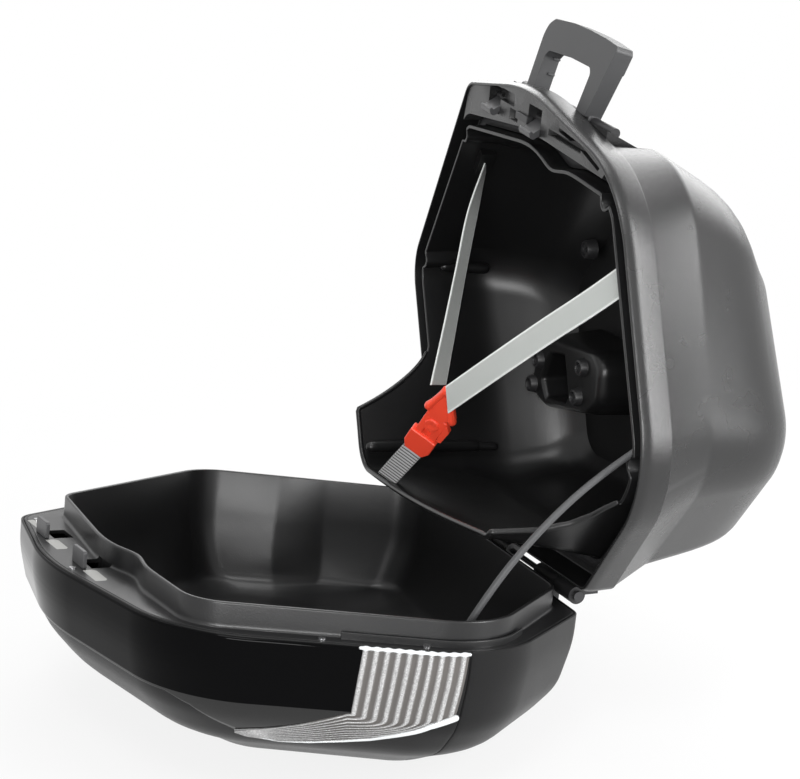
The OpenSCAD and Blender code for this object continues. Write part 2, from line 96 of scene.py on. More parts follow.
# corner lists [y, z, radius]: rim, inner wall, tray lip, back edge, lid face, band behind the rim,
# step behind the band, waist and rear of the bike-side shell
RIM = np.array([[-165, 9, 15], [-259, 110, 92], [-202, 322, 110], [-36, 394.5, 250], [93, 404, 22],
                [244, 233, 50], [176, 9, 40]], float)
INN = np.array([[-150, 33, 20], [-236, 115, 52], [-184, 303, 30], [-30, 346, 200], [97, 362, 12],
                [220, 230, 34], [160, 33, 25]], float)
TRAY = np.array([[-161, 61, 14], [-226, 117, 44], [-184, 303, 30], [-30, 346, 200], [97, 362, 12],
                 [218, 230, 34], [159, 46, 26]], float)
BACK = np.array([[-138, 34, 36], [-216, 118, 56], [-163, 262, 50], [-30, 296, 200], [62, 308, 40],
                 [185, 215, 60], [140, 34, 44]], float)
FACE = np.array([[-140, 65, 40], [-204, 126, 60], [-156, 276, 60], [-30, 326, 200], [66, 338, 40],
                 [212, 222, 60], [160, 61, 50]], float)
BAND = np.array([[-164, 9, 15], [-255, 110, 90], [-199, 319, 108], [-36, 391, 248], [92, 401, 21],
                 [240, 232, 49], [175, 9, 40]], float)
STEP = np.array([[-163, 9.6, 15], [-254, 110.5, 89], [-195, 303, 90], [-30, 349, 200], [95, 366, 13],
                 [239, 231.5, 48], [174, 9.6, 40]], float)
WAIST = np.array([[-141, 17, 25], [-242, 121, 76], [-186, 299, 84], [-30, 341, 200], [93, 356, 16],
                  [231, 230, 48], [162, 17, 40]], float)
REAR = np.array([[-142, 27, 28], [-227, 116.5, 62], [-174.5, 284.5, 62], [-30, 323.5, 200],
                 [81, 337.5, 25], [204.5, 223.5, 46], [150, 27, 35]], float)
LID_DEPTH, TRAY_OUT = 108.0, 77.0
CLAWS = ("rear", -23.0), ("front", 63.0)  # places of the latch claws along the latch


def unit(v):
    v = np.asarray(v, float)
    return v / np.linalg.norm(v)


def inset(c, d):
    """Corner list moved inwards by d."""
    out = []
    for i in range(len(c)):
        v, q = c[i], c[(i + 1) % len(c)]
        a, b = unit(v[:2] - c[i - 1][:2]), unit(q[:2] - v[:2])
        n1, n2 = np.array([a[1], -a[0]]), np.array([b[1], -b[0]])
        m = (n1 + n2) * (d / (1 + n1 @ n2))
        out.append([v[0] + m[0], v[1] + m[1], max(v[2] - d, 3)])
    return np.array(out)


def mix(a, b, w):
    return a * (1 - w) + b * w


def outline(c, s):
    """Points of a rounded outline: corner i has its arc at s 10i to 10i+5 and its straight side after it."""
    t = []
    for i in range(len(c)):
        v = c[i][:2]
        d1, d2 = unit(c[i - 1][:2] - v), unit(c[(i + 1) % len(c)][:2] - v)
        h = math.acos(max(-1, min(1, d1 @ d2))) / 2
        k = c[i][2] / math.tan(h)
        t.append((v + d1 * k, v + d2 * k, v + unit(d1 + d2) * c[i][2] / math.sin(h)))
    out = []
    for x in np.atleast_1d(s):
        x = x % (10 * len(c))
        i = int(x // 10)
        k = x - 10 * i
        t0, t1, ce = t[i]
        if k <= 5:
            a1 = math.atan2(t0[1] - ce[1], t0[0] - ce[0])
            a2 = math.atan2(t1[1] - ce[1], t1[0] - ce[0])
            a = a1 + ((a2 - a1 + math.pi) % (2 * math.pi) - math.pi) * k / 5
            out.append(ce + c[i][2] * np.array([math.cos(a), math.sin(a)]))
        else:
            out.append(t1 + (t[(i + 1) % len(c)][0] - t1) * (k - 5) / 5)
    return np.array(out)


def distance(p):
    """Length along points, from the first to each."""
    return np.concatenate([[0], np.cumsum(np.linalg.norm(np.diff(p, axis=0), axis=1))])


def samples(step, extra=()):
    """Values of s about step millimetres apart along the rim, with some values added."""
    s = np.linspace(0, 70, 2801)
    o = outline(RIM, s)
    far = distance(o)
    n = int(far[-1] / step)
    got = np.interp(np.arange(n) * far[-1] / n, far, s)
    for e in extra:
        got = got[np.abs(got - e) > 0.08]
    return np.sort(np.concatenate([got, np.asarray(extra, float)]))


def inward(o):
    """Unit normals of a closed outline, towards its inside."""
    t = np.roll(o, -1, 0) - np.roll(o, 1, 0)
    t /= np.linalg.norm(t, axis=1)[:, None] + 1e-9
    return np.stack([t[:, 1], -t[:, 0]], 1)


# half-round screw towers inside the bike-side wall: place along the outline and radius
TOWERS = [(51.45, 8.0), (45.1, 6.0), (23.5, 7.5), (12.9, 7.5)]
# jog of the inner wall beside the latch: place along the outline, width there, and reach
JOG_AT, JOG_WIDE, JOG_REACH = 28.4, 0.85, 6.5


def inner(d, s, towers=0.0):
    """Outline of the inner wall with its jog beside the latch, and its screw towers."""
    o = outline(inset(INN, d), s)
    n = inward(o)
    move = JOG_REACH * np.exp(-((s - JOG_AT) / JOG_WIDE) ** 2)
    if towers > 0:
        for at, r in TOWERS:
            c = outline(inset(INN, d), [at])[0]
            far = np.linalg.norm(o - c, axis=1) / r
            move = move + towers * r * np.sqrt(np.clip(1 - far ** 2, 0, 1))
    return o + n * move[:, None]


def ring(c, x, s=None):
    """Points at depth x of a corner list, sampled at s, or of an outline's own points."""
    o = c if c.shape[1] == 2 else outline(c, s)
    return np.concatenate([np.full((len(o), 1), float(x)), o], 1)


# tray lip: sag along the bottom (depth, middle, half length, height below which it counts), height from
# which the far wall comes forward and over how much, and height on the near wall with its reach (1 is the edge)
SAG, SAG_MID, SAG_HALF, SAG_Z = 6.0, 15, 165, 75
FAR_Z, FAR_FALL = 152, 68
NEAR_Z, NEAR_OUT = [65.5, 66.8, 73, 81, 88, 95], [1, 0.56, 0.31, 0.17, 0.1, 0]


def tray_ring(d, s, towers=0.0):
    """Edge of the shell: at the rim round the top, and drawn forward as a tray along the bottom."""
    a, b = inner(d, s, towers), outline(inset(TRAY, d), s)
    dip = SAG * np.clip(np.cos((b[:, 0] - SAG_MID) / SAG_HALF * math.pi / 2), 0, 1)
    b[:, 1] -= np.where(b[:, 1] < SAG_Z, dip, 0)
    far = np.where(a[:, 0] >= 0, np.clip((FAR_Z - a[:, 1]) / FAR_FALL, 0, 1) ** 1.5, 0)
    flat = (a[:, 0] < 0) & ((s > 60) | (s <= 5))
    w = np.where(flat, 1.0, far)
    out = a * (1 - w)[:, None] + b * w[:, None]
    side = (s > 5) & (s < 10)
    z = NEAR_Z[0] + (NEAR_Z[-1] - NEAR_Z[0]) * np.clip((s - 5) / 5, 0, 1) ** 1.6
    wn = np.interp(z, NEAR_Z, NEAR_OUT)
    (y0, z0, _), (y1, z1, _) = INN[:2]
    wall = y0 + (y1 - y0) * (z - z0) / (z1 - z0)
    u = wall * (1 - wn) + (TRAY[0, 0] - (z - TRAY[0, 1])) * wn
    w = np.where(side, wn, w)
    out = np.where(side[:, None], np.stack([u + 0.69 * d, z + 0.72 * d], 1), out)
    return np.concatenate([(2 - (TRAY_OUT + 2) * w)[:, None], out], 1)


def soft(rings, cuts, seg=4):
    """Rings with each inner crease rounded: the cut is how far the rounding reaches, in millimetres."""
    out, ks = [rings[0]], [0.0]
    for k in range(1, len(rings) - 1):
        a, b, c = rings[k - 1], rings[k], rings[k + 1]
        if cuts[k] <= 0:
            out.append(b)
            ks.append(float(k))
            continue
        da, dc = np.linalg.norm(a - b, axis=1), np.linalg.norm(c - b, axis=1)
        fa = np.minimum(cuts[k], 0.46 * da) / np.maximum(da, 1e-6)
        fc = np.minimum(cuts[k], 0.46 * dc) / np.maximum(dc, 1e-6)
        p, q = b + (a - b) * fa[:, None], b + (c - b) * fc[:, None]
        for t in np.linspace(0, 1, seg + 1):
            out.append(p * (1 - t) ** 2 + b * 2 * t * (1 - t) + q * t * t)
            ks.append(k - fa.mean() * (1 - 2 * t) if t < 0.5 else k + fc.mean() * (2 * t - 1))
    out.append(rings[-1])
    ks.append(len(rings) - 1.0)
    return out, np.array(ks)


def add(name, verts, faces, mat=None, smooth=40):
    me = bpy.data.meshes.new(name)
    me.from_pydata([tuple(v) for v in verts], [], [tuple(f) for f in faces])
    me.validate()
    o = bpy.data.objects.new(name, me)
    scene.collection.objects.link(o)
    bm = bmesh.new()
    bm.from_mesh(me)
    bmesh.ops.recalc_face_normals(bm, faces=bm.faces)
    bm.to_mesh(me)
    bm.free()
    shade(o, smooth)
    if mat:
        me.materials.append(mat)
    return o


def shade(o, angle):
    me = o.data
    for p in me.polygons:
        p.use_smooth = True
    if angle < 180:
        me.set_sharp_from_angle(angle=math.radians(angle))


def loft(name, rings, mat=None, smooth=40, cap=True, loop=False):
    n, m = len(rings[0]), len(rings)
    v = np.concatenate(rings)
    f = []
    for k in range(m if loop else m - 1):
        a, b = k * n, ((k + 1) % m) * n
        for i in range(n):
            j = (i + 1) % n
            f.append((a + i, a + j, b + j, b + i))
    if cap and not loop:
        f.append(tuple(range(n - 1, -1, -1)))
        f.append(tuple(range((m - 1) * n, m * n)))
    return add(name, v, f, mat, smooth)


def settle(o, body, slot, *nodes):
    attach(o, body)
    if nodes:
        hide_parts(*nodes)
    return o


END_ROUND = (80, 55, 30)  # angles of the rings that round a bar's ends


def tube(name, pts, radius, mat=None, n=14):
    """Round bar along points in row metres, with rounded ends."""
    pts = np.asarray(pts, float)
    d = np.gradient(pts, axis=0)
    d /= np.linalg.norm(d, axis=1)[:, None]
    r = np.full(len(pts), float(radius)) if np.isscalar(radius) else np.asarray(radius, float)
    a = np.arange(n) * 2 * math.pi / n
    b = unit(np.cross(d[0], [0.31, 0.9, 0.3]))
    around = []
    for i in range(len(pts)):
        b = unit(b - d[i] * (b @ d[i]))
        around.append((np.outer(np.cos(a), b) + np.outer(np.sin(a), np.cross(d[i], b))) * r[i])

    def end(i, sign, degrees):
        w = math.radians(degrees)
        return pts[i] + sign * d[i] * r[i] * math.sin(w) + around[i] * math.cos(w)

    rings = [end(0, -1, w) for w in END_ROUND] + [p + q for p, q in zip(pts, around)]
    rings += [end(-1, 1, w) for w in reversed(END_ROUND)]
    return loft(name, rings, mat, 60)


def smooth_path(pts, n):
    """Points of a smooth curve through the given ones."""
    p = np.asarray(pts, float)
    p = np.concatenate([[2 * p[0] - p[1]], p, [2 * p[-1] - p[-2]]])
    out = []
    for i in range(1, len(p) - 2):
        for f in np.arange(n) / n:
            a, b, c, d = p[i - 1:i + 3]
            out.append(0.5 * (2 * b + (c - a) * f + (2 * a - 5 * b + 4 * c - d) * f ** 2
                              + (3 * b - a - 3 * c + d) * f ** 3))
    out.append(p[-2])
    return np.array(out)


def rot(axis, deg):
    return np.array(Matrix.Rotation(math.radians(deg), 3, axis))


LATCH_TILT, HANDLE_LEAN = 14.5, 14
LATCH = rot("X", LATCH_TILT)
LATCH_AT = np.array([34.0, -30.0, 378.0])
RAISED = LATCH @ rot("Y", HANDLE_LEAN)


def latch(q):
    """Case points from the frame of the sloping latch, at the handle's axis."""
    return np.asarray(q, float) @ LATCH.T + LATCH_AT


def raised(q):
    """Case points from the frame of the raised handle."""
    return np.asarray(q, float) @ RAISED.T + LATCH_AT


def in_lid_latch(q):
    return lid(latch(q))


def prism(name, poly, h0, h1, place, mat=None, bevel=0.0, seg=2, smooth=35):
    """Plate over a polygon: place turns (a, b, height) in millimetres into case points."""
    n = len(poly)
    v = [(a, b, h0) for a, b in poly] + [(a, b, h1) for a, b in poly]
    f = [tuple(range(n)), tuple(range(2 * n - 1, n - 1, -1))]
    f += [(i, (i + 1) % n, n + (i + 1) % n, n + i) for i in range(n)]
    o = add(name, row(place(np.array(v, float))), f, mat, smooth)
    if bevel:
        round_off(o, bevel, seg)
    return o


def round_off(o, width, seg=2, angle=30):
    m = o.modifiers.new("edges", "BEVEL")
    m.width, m.segments, m.limit_method, m.angle_limit = width / 1000, seg, "ANGLE", math.radians(angle)
    m.harden_normals = False
    return o


def lathe(name, profile, at, axis, mat=None, n=28):
    """Round piece from (radius, height) pairs along an axis through a case point."""
    axis = unit(axis)
    b = unit(np.cross(axis, [0.3, 0.5, 0.81]))
    c = np.cross(axis, b)
    a = np.arange(n) * 2 * math.pi / n
    around = np.outer(np.cos(a), b) + np.outer(np.sin(a), c)
    rings = [row(at + axis * h + around * max(r, 0.02)) for r, h in profile]
    return loft(name, rings, mat, 35)


def rounded(poly, r, n=5):
    """Polygon with its corners rounded: r is one radius or one for each corner."""
    p = np.asarray(poly, float)
    r = np.full(len(p), float(r)) if np.isscalar(r) else np.asarray(r, float)
    out = []
    for i in range(len(p)):
        v, a, b = p[i], p[i - 1], p[(i + 1) % len(p)]
        d1, d2 = unit(a - v), unit(b - v)
        h = math.acos(max(-1, min(1, d1 @ d2))) / 2
        k = min(r[i] / math.tan(h), 0.48 * np.linalg.norm(a - v), 0.48 * np.linalg.norm(b - v))
        if k < 0.05:
            out.append(v)
            continue
        for f in np.linspace(0, 1, n + 1):
            out.append((v + d1 * k) * (1 - f) ** 2 + v * 2 * f * (1 - f) + (v + d2 * k) * f * f)
    return np.array(out)


def apply_all(o):
    """Turns a piece's modifiers into its mesh."""
    dg = bpy.context.evaluated_depsgraph_get()
    me = bpy.data.meshes.new_from_object(o.evaluated_get(dg))
    o.modifiers.clear()
    o.data = me
    return o


def cut(o, *cutters):
    for c in cutters:
        m = o.modifiers.new("cut", "BOOLEAN")
        m.operation, m.object, m.solver = "DIFFERENCE", c, "EXACT"
    apply_all(o)
    for c in cutters:
        bpy.data.objects.remove(c)
    shade(o, 32)
    return o


# half section of a woven strip: place across and height, with thicker edges
SELVEDGE = [(-1, 0.35), (-0.97, 0.8), (-0.9, 1.0), (-0.82, 0.92), (-0.5, 0.86), (0, 0.84), (0.5, 0.86),
            (0.82, 0.92), (0.9, 1.0), (0.97, 0.8), (1, 0.35)]
EDGE_MAP = 10.0  # map coordinate of a strip's edge


def ribbon(name, path, sides, width, thick, mat):
    """Woven strip along case points; its map coordinates run to EDGE_MAP across, and in millimetres along."""
    path, sides = np.asarray(path, float), np.asarray(sides, float)
    d = np.gradient(path, axis=0)
    d /= np.linalg.norm(d, axis=1)[:, None]
    flat = sides - d * (sides * d).sum(1)[:, None]
    b = sides / np.linalg.norm(flat, axis=1)[:, None]
    nn = np.cross(d, flat / np.linalg.norm(flat, axis=1)[:, None])
    loop = SELVEDGE + [(a, -h) for a, h in reversed(SELVEDGE)]
    rings = [path + b * (width / 2 * a) + nn * (thick / 2 * h) for a, h in loop]
    rings = [np.stack([r[i] for r in rings]) for i in range(len(path))]
    o = loft(name, [row(r) for r in rings], mat, 60)
    along = distance(path)
    me, m = o.data, len(loop)
    uv = me.uv_layers.new(name="cloth")
    for poly in me.polygons:
        for li in poly.loop_indices:
            vi = me.loops[li].vertex_index
            uv.data[li].uv = (loop[vi % m][0] * EDGE_MAP, along[vi // m])
    return o


# materials
def node(nt, kind, **inputs):
    """New node with its settings, and its sockets, which are written with _ for a space."""
    n = nt.nodes.new("ShaderNode" + kind)
    for k, v in inputs.items():
        socket = k.replace("_", " ")
        if socket in n.inputs:
            n.inputs[socket].default_value = v
        else:
            setattr(n, k, v)
    return n


def blank(name):
    """New material, its node tree, its shader, and the function that joins two sockets."""
    m = bpy.data.materials.new(name)
    m.use_nodes = True
    nt = m.node_tree
    return m, nt, nt.nodes["Principled BSDF"], nt.links.new


def material(name, colour, rough, grain=0.0, grain_scale=1500, vary=0.08, rough_vary=0.06, **sockets):
    """Moulded or metal finish: colour and roughness vary a little, and a fine grain bumps the surface."""
    m, nt, b, join = blank(name)
    b.inputs["Roughness"].default_value = rough
    for k, v in sockets.items():
        b.inputs[k.replace("_", " ")].default_value = v
    co = node(nt, "TexCoord")
    big = node(nt, "TexNoise", Scale=14.0, Detail=4.0, Roughness=0.6)
    join(co.outputs["Object"], big.inputs["Vector"])
    mixc = node(nt, "Mix", data_type="RGBA")
    mixc.inputs["A"].default_value = (*[c * (1 - vary) for c in colour], 1)
    mixc.inputs["B"].default_value = (*[min(1, c * (1 + vary)) for c in colour], 1)
    join(big.outputs["Fac"], mixc.inputs["Factor"])
    join(mixc.outputs["Result"], b.inputs["Base Color"])
    rr = node(nt, "MapRange", To_Min=max(0.0, rough - rough_vary), To_Max=min(1.0, rough + rough_vary))
    join(big.outputs["Fac"], rr.inputs["Value"])
    join(rr.outputs["Result"], b.inputs["Roughness"])
    if grain:
        fine = node(nt, "TexNoise", Scale=float(grain_scale), Detail=2.0, Roughness=0.5)
        join(co.outputs["Object"], fine.inputs["Vector"])
        bump = node(nt, "Bump", Strength=grain, Distance=0.0004)
        join(fine.outputs["Fac"], bump.inputs["Height"])
        join(bump.outputs["Normal"], b.inputs["Normal"])
    return m


SHELL = material("shell_grain", (0.014, 0.014, 0.0143), 0.27, grain=0.35, grain_scale=1400, rough_vary=0.03,
                 Specular_IOR_Level=0.5)
# inside faces: the shell's plastic with a darker colour, painted shade inside the hollow
INNER_PAINTED_SHADE = material("inner_satin_painted_shade", (0.007, 0.007, 0.0073), 0.32, grain=0.18, grain_scale=900,
                 Specular_IOR_Level=0.4)
TUB = material("tub_satin", (0.011, 0.011, 0.0114), 0.33, grain=0.2, grain_scale=900, Specular_IOR_Level=0.4)
GLOSS = material("gloss_black", (0.0012, 0.0012, 0.0014), 0.04, rough_vary=0.012, IOR=1.14)
GLOSS_LOW = material("gloss_facet", (0.004, 0.004, 0.004), 0.1, rough_vary=0.03, Specular_IOR_Level=0.5)
# the shell plastic again with a darker colour and a weak reflection: painted shade on the lid's downward face
LID_SHELL_PAINTED_SHADE = material("lid_grain_painted_shade", (0.011, 0.011, 0.0113), 0.34, grain=0.3, grain_scale=1400,
                    Specular_IOR_Level=0.14)
GREY = material("handle_grey", (0.045, 0.0455, 0.047), 0.45, grain=0.3, grain_scale=1600)
RUBBER = material("rubber_black", (0.010, 0.010, 0.011), 0.62, grain=0.3, grain_scale=700)
DARK = material("dark_plastic", (0.018, 0.018, 0.019), 0.42, grain=0.2, grain_scale=1200)
CLAW = material("claw_grey", (0.05, 0.05, 0.052), 0.4, grain=0.25, grain_scale=1500)
STEEL = material("plated_steel", (0.5, 0.5, 0.51), 0.28, grain=0.1, grain_scale=500, Metallic=1.0)
BLACKSTEEL = material("black_screw", (0.06, 0.06, 0.062), 0.35, grain=0.1, grain_scale=600, Metallic=0.6)
RED = material("buckle_red", (0.93, 0.075, 0.035), 0.36, grain=0.08, grain_scale=900, vary=0.05)
CORD = material("cord_grey", (0.06, 0.061, 0.063), 0.55, grain=0.5, grain_scale=1800)


WEAVE_PITCH = 0.9  # millimetres between the cross threads of a plain band


def woven(name, dark, light, edge, stripes=0.0):
    """Woven band: a speckle of two yarns, whiter edges, and cross ribs where stripes is their pitch."""
    m, nt, b, join = blank(name)
    b.inputs["Roughness"].default_value = 0.75
    b.inputs["Sheen Weight"].default_value = 0.25
    uv = node(nt, "UVMap", uv_map="cloth")
    sep = node(nt, "SeparateXYZ")
    join(uv.outputs[0], sep.inputs[0])
    speck = node(nt, "TexNoise", Scale=2.6, Detail=3.0, Roughness=0.7)
    join(uv.outputs[0], speck.inputs["Vector"])
    ramp = node(nt, "ValToRGB")
    ramp.color_ramp.elements[0].position, ramp.color_ramp.elements[0].color = 0.38, (*dark, 1)
    ramp.color_ramp.elements[1].position, ramp.color_ramp.elements[1].color = 0.56, (*light, 1)
    join(speck.outputs["Fac"], ramp.inputs[0])
    mag = node(nt, "Math", operation="ABSOLUTE")
    join(sep.outputs["X"], mag.inputs[0])
    rim = node(nt, "MapRange", From_Min=0.82 * EDGE_MAP, From_Max=0.9 * EDGE_MAP)
    join(mag.outputs[0], rim.inputs["Value"])
    mixc = node(nt, "Mix", data_type="RGBA")
    mixc.inputs["B"].default_value = (*edge, 1)
    join(rim.outputs["Result"], mixc.inputs["Factor"])
    join(ramp.outputs["Color"], mixc.inputs["A"])
    last = mixc.outputs["Result"]
    wave = node(nt, "Math", operation="SINE")
    turn = node(nt, "Math", operation="MULTIPLY")
    turn.inputs[1].default_value = 2 * math.pi / (stripes or WEAVE_PITCH)
    join(sep.outputs["Y"], turn.inputs[0])
    join(turn.outputs[0], wave.inputs[0])
    if stripes:
        band = node(nt, "MapRange", From_Min=-0.75, From_Max=-0.25)
        join(wave.outputs[0], band.inputs["Value"])
        mix2 = node(nt, "Mix", data_type="RGBA")
        mix2.inputs["A"].default_value = (0.02, 0.02, 0.022, 1)
        join(band.outputs["Result"], mix2.inputs["Factor"])
        join(last, mix2.inputs["B"])
        last = mix2.outputs["Result"]
    join(last, b.inputs["Base Color"])
    high = node(nt, "Math", operation="ADD")
    join(wave.outputs[0], high.inputs[0])
    join(speck.outputs["Fac"], high.inputs[1])
    bump = node(nt, "Bump", Strength=0.35, Distance=0.0003)
    join(high.outputs[0], bump.inputs["Height"])
    join(bump.outputs["Normal"], b.inputs["Normal"])
    return m


STRAP = woven("strap_elastic", (0.26, 0.275, 0.265), (0.52, 0.54, 0.52), (0.74, 0.76, 0.74))
WEB = woven("webbing_striped", (0.5, 0.5, 0.5), (0.72, 0.72, 0.72), (0.55, 0.55, 0.55), stripes=4.2)
# back ply of the same webbing in near-black: painted shade behind the front ply
WEB_BACK_PAINTED_SHADE = woven("webbing_back_painted_shade", (0.012, 0.012, 0.013), (0.03, 0.03, 0.032), (0.03, 0.03, 0.03))


def lens_material(name):
    """Clear ribbed lens over a silvered back: the grooves carry painted shade, and the crests a lighter colour with a
    sparkling grain of painted glints.
    """
    m = material(name, (0.4, 0.4, 0.4), 0.3, Specular_IOR_Level=0.35, Coat_Weight=0.25, Coat_Roughness=0.08)
    nt = m.node_tree
    b, join = nt.nodes["Principled BSDF"], nt.links.new
    at = node(nt, "Attribute", attribute_name="rib")
    co = node(nt, "TexCoord")
    # fine noise that lightens the crests in specks: painted glint
    grain = node(nt, "TexNoise", Scale=1100.0, Detail=1.0)
    join(co.outputs["Object"], grain.inputs["Vector"])
    speck = node(nt, "MapRange", From_Min=0.35, From_Max=0.7, To_Min=0.26, To_Max=0.5)
    join(grain.outputs["Fac"], speck.inputs["Value"])
    crest = node(nt, "CombineColor")
    for ch in ("Red", "Green", "Blue"):
        join(speck.outputs["Result"], crest.inputs[ch])
    mixc = node(nt, "Mix", data_type="RGBA")
    # groove colour: painted shade between the ribs
    mixc.inputs["A"].default_value = (0.095, 0.088, 0.083, 1)
    join(at.outputs["Fac"], mixc.inputs["Factor"])
    join(crest.outputs["Color"], mixc.inputs["B"])
    for link in list(b.inputs["Base Color"].links):
        nt.links.remove(link)
    join(mixc.outputs["Result"], b.inputs["Base Color"])
    return m


LENS = lens_material("lens_rib_painted_shade")
# light grey edges of the clear lens: a painted highlight along its top and lower edges
LENS_EDGE_HIGHLIGHT = material("lens_edge_painted_highlight", (0.62, 0.64, 0.65), 0.12, vary=0.1, Coat_Weight=1.0)
PAD = material("pad_grey", (0.30, 0.30, 0.285), 0.4, grain=0.15, grain_scale=900)


def paint(obj, mat):
    obj.data.materials.clear()
    obj.data.materials.append(mat)


# bike-side shell
S = samples(3.0)
for at, _ in TOWERS:
    S = np.concatenate([S, at + np.linspace(-0.5, 0.5, 17)])
S = np.unique(np.round(np.concatenate([S, np.linspace(5.0, 7.4, 60)]), 3))
base_rings = [
    ring(inset(BACK, 15), 147, S), ring(inset(BACK, 3), 137, S), ring(inset(REAR, 3), 116, S),
    ring(inset(WAIST, 3), 64, S), ring(inner(0, S, 1.0), 25), tray_ring(0, S, 1.0),
    tray_ring(-3, S, 1.0), ring(inner(-3, S), 22), ring(inset(RIM, 4), 22, S), ring(inset(RIM, 4), 0, S),
    ring(inset(RIM, 2.5), 0, S), ring(inset(RIM, 1.5), 1, S), ring(RIM, 6, S), ring(BAND, 25, S),
    ring(STEP, 25.1, S), ring(WAIST, 64, S), ring(REAR, 119, S), ring(BACK, 140, S),
    ring(inset(BACK, 12), 150, S)]


# the wall beside the handle's pocket: end of the pocket along the hinge, span of outline places and slope
POCKET_END, BESIDE, RISE_S = -130.2, (14.5, 29), 5.5


def shoulder(r, rise):
    """Lifts the wall beside the handle's pocket to the level of the pocket's edge."""
    w = np.clip((S - BESIDE[0]) / RISE_S, 0, 1)
    w = np.where((S > BESIDE[0]) & (S < BESIDE[1]), w * w * (3 - 2 * w), 0)
    r = r.copy()
    r[:, 2] += rise * w * np.clip((POCKET_END - r[:, 1]) / 1.2, 0, 1)
    return r


WAIST_RING, REAR_RING, STEP_RING = 15, 16, 14
for k, rise in ((WAIST_RING, 28.0), (REAR_RING, 14.0)):
    base_rings[k] = shoulder(base_rings[k], rise)
flush = outline(inset(BAND, 0.9), S)
beside = (flush[:, 0] < POCKET_END - 0.8) & (S > 12) & (S < 30)
base_rings[STEP_RING][beside, 1:] = flush[beside]
base_cuts = [0, 16, 26, 18, 5, 1.1, 1.1, 2, 2, 0.7, 0.7, 1.2, 4, 0.8, 0.3, 2.5, 26, 14, 0]
base_rows, base_ks = soft(base_rings, base_cuts)
base = loft("base_body", [row(r) for r in base_rows], SHELL, 32)
# the inside faces take the darker copy of the plastic: painted shade
base.data.materials.append(INNER_PAINTED_SHADE)
RIM_RING = 9.2  # faces before this ring are inside the shell
walls = len(base_rows) - 1
for poly in base.data.polygons:
    strip = poly.index // len(S)
    if poly.index == walls * len(S) or (strip < walls and base_ks[strip + 1] <= RIM_RING):
        poly.material_index = 1
settle(base, "base", "shell", "base_shell")

SEAL = [(-11, 18.5), (-11, 22), (-4, 22), (-4, 18.5), (-6, 18.0), (-7.5, 17.6), (-9, 18.0)]  # offset, depth
seal = loft("seal_ring", [row(ring(inner(d, S), x)) for d, x in SEAL], RUBBER, 50, loop=True)
settle(seal, "base", "rubber", "rim_seal")

# lid
SPLIT = 13.36  # place of the split line beside the lens
T = samples(3.0, extra=[SPLIT + d for d in (-0.1, -0.05, 0, 0.05, 0.1)])
# lining outline near its floor: full at the hinge side, where the tray goes in
DEEP = inset(mix(INN, FACE, 0.5), 2)
DEEP[0], DEEP[6] = (-158, 41.0, 25), (163, 39.5, 30)


def draft(r, d):
    """Leans the lining's far wall inwards towards the floor."""
    w = np.clip((r[:, 1] - 20) / 60, 0, 1) * np.clip((r[:, 2] - 112) / 45, 0, 1)
    r = r.copy()
    r[:, 1:] += inward(r[:, 1:]) * (d * w)[:, None]
    return r


tub_rings = [
    ring(inset(FACE, 66), 10 - LID_DEPTH, T), ring(inset(FACE, 34), 12.5 - LID_DEPTH, T),
    draft(ring(inset(FACE, 9), 18 - LID_DEPTH, T), 9), draft(ring(DEEP, -83, T), 11),
    draft(ring(inset(mix(INN, FACE, 0.16), -5), -62, T), 14), draft(ring(inner(-6, T), -36), 9),
    ring(inner(-6, T), 17.4),
    ring(inner(-9, T), 17.4), ring(inner(-9, T), -0.4), ring(inset(RIM, 3), -0.4, T),
    ring(inset(RIM, 3), -3.4, T), ring(inner(-9, T), -3.4), ring(inner(-9, T), -37),
    ring(inset(mix(INN, FACE, 0.16), -7.5), -63, T), ring(inset(DEEP, -1.6), -84.3, T),
    ring(inset(FACE, 6), 14 - LID_DEPTH, T), ring(inset(FACE, 33), 9 - LID_DEPTH, T),
    ring(inset(FACE, 65), 7 - LID_DEPTH, T)]
tub = loft("lid_lining", [row(lid(r)) for r in soft(
    tub_rings, [0, 15, 11, 7, 16, 12, 1.3, 1.3, 3, 0.5, 0.5, 1, 8, 8, 5, 5, 8, 0])[0]], TUB, 35)
cut(tub, *[prism("cut_claw", [(-42, y - 12), (-32, y - 12), (-32, y + 12), (-42, y + 12)], -24, -8.1, in_lid_latch)
           for _, y in CLAWS])
settle(tub, "lid", "inner", "lid_tub")


def lid_rings(s, e):
    return [ring(inset(RIM, -e), -0.4, s), ring(inset(RIM, -e), -22, s),
            ring(inset(mix(RIM, FACE, 0.13), -e), -58, s), ring(inset(mix(RIM, FACE, 0.48), -e), -84, s),
            ring(inset(FACE, -e), 10 - LID_DEPTH, s), ring(inset(FACE, 18 - e), -LID_DEPTH - e, s)]


LID_CUTS = [0, 12, 9, 12, 12, 0]


def lid_skin(s, k, e):
    """Points of the rounded lid surface at outline place s, ring place k and height e above it."""
    rows, ks = soft(lid_rings(s, e), LID_CUTS)
    rows = np.stack(rows)
    j = np.clip(np.searchsorted(ks, k, side="right") - 1, 0, len(ks) - 2)
    f = np.clip((k - ks[j]) / (ks[j + 1] - ks[j]), 0, 1)
    i = np.arange(len(s))
    return rows[j, i] * (1 - f)[:, None] + rows[j + 1, i] * f[:, None]


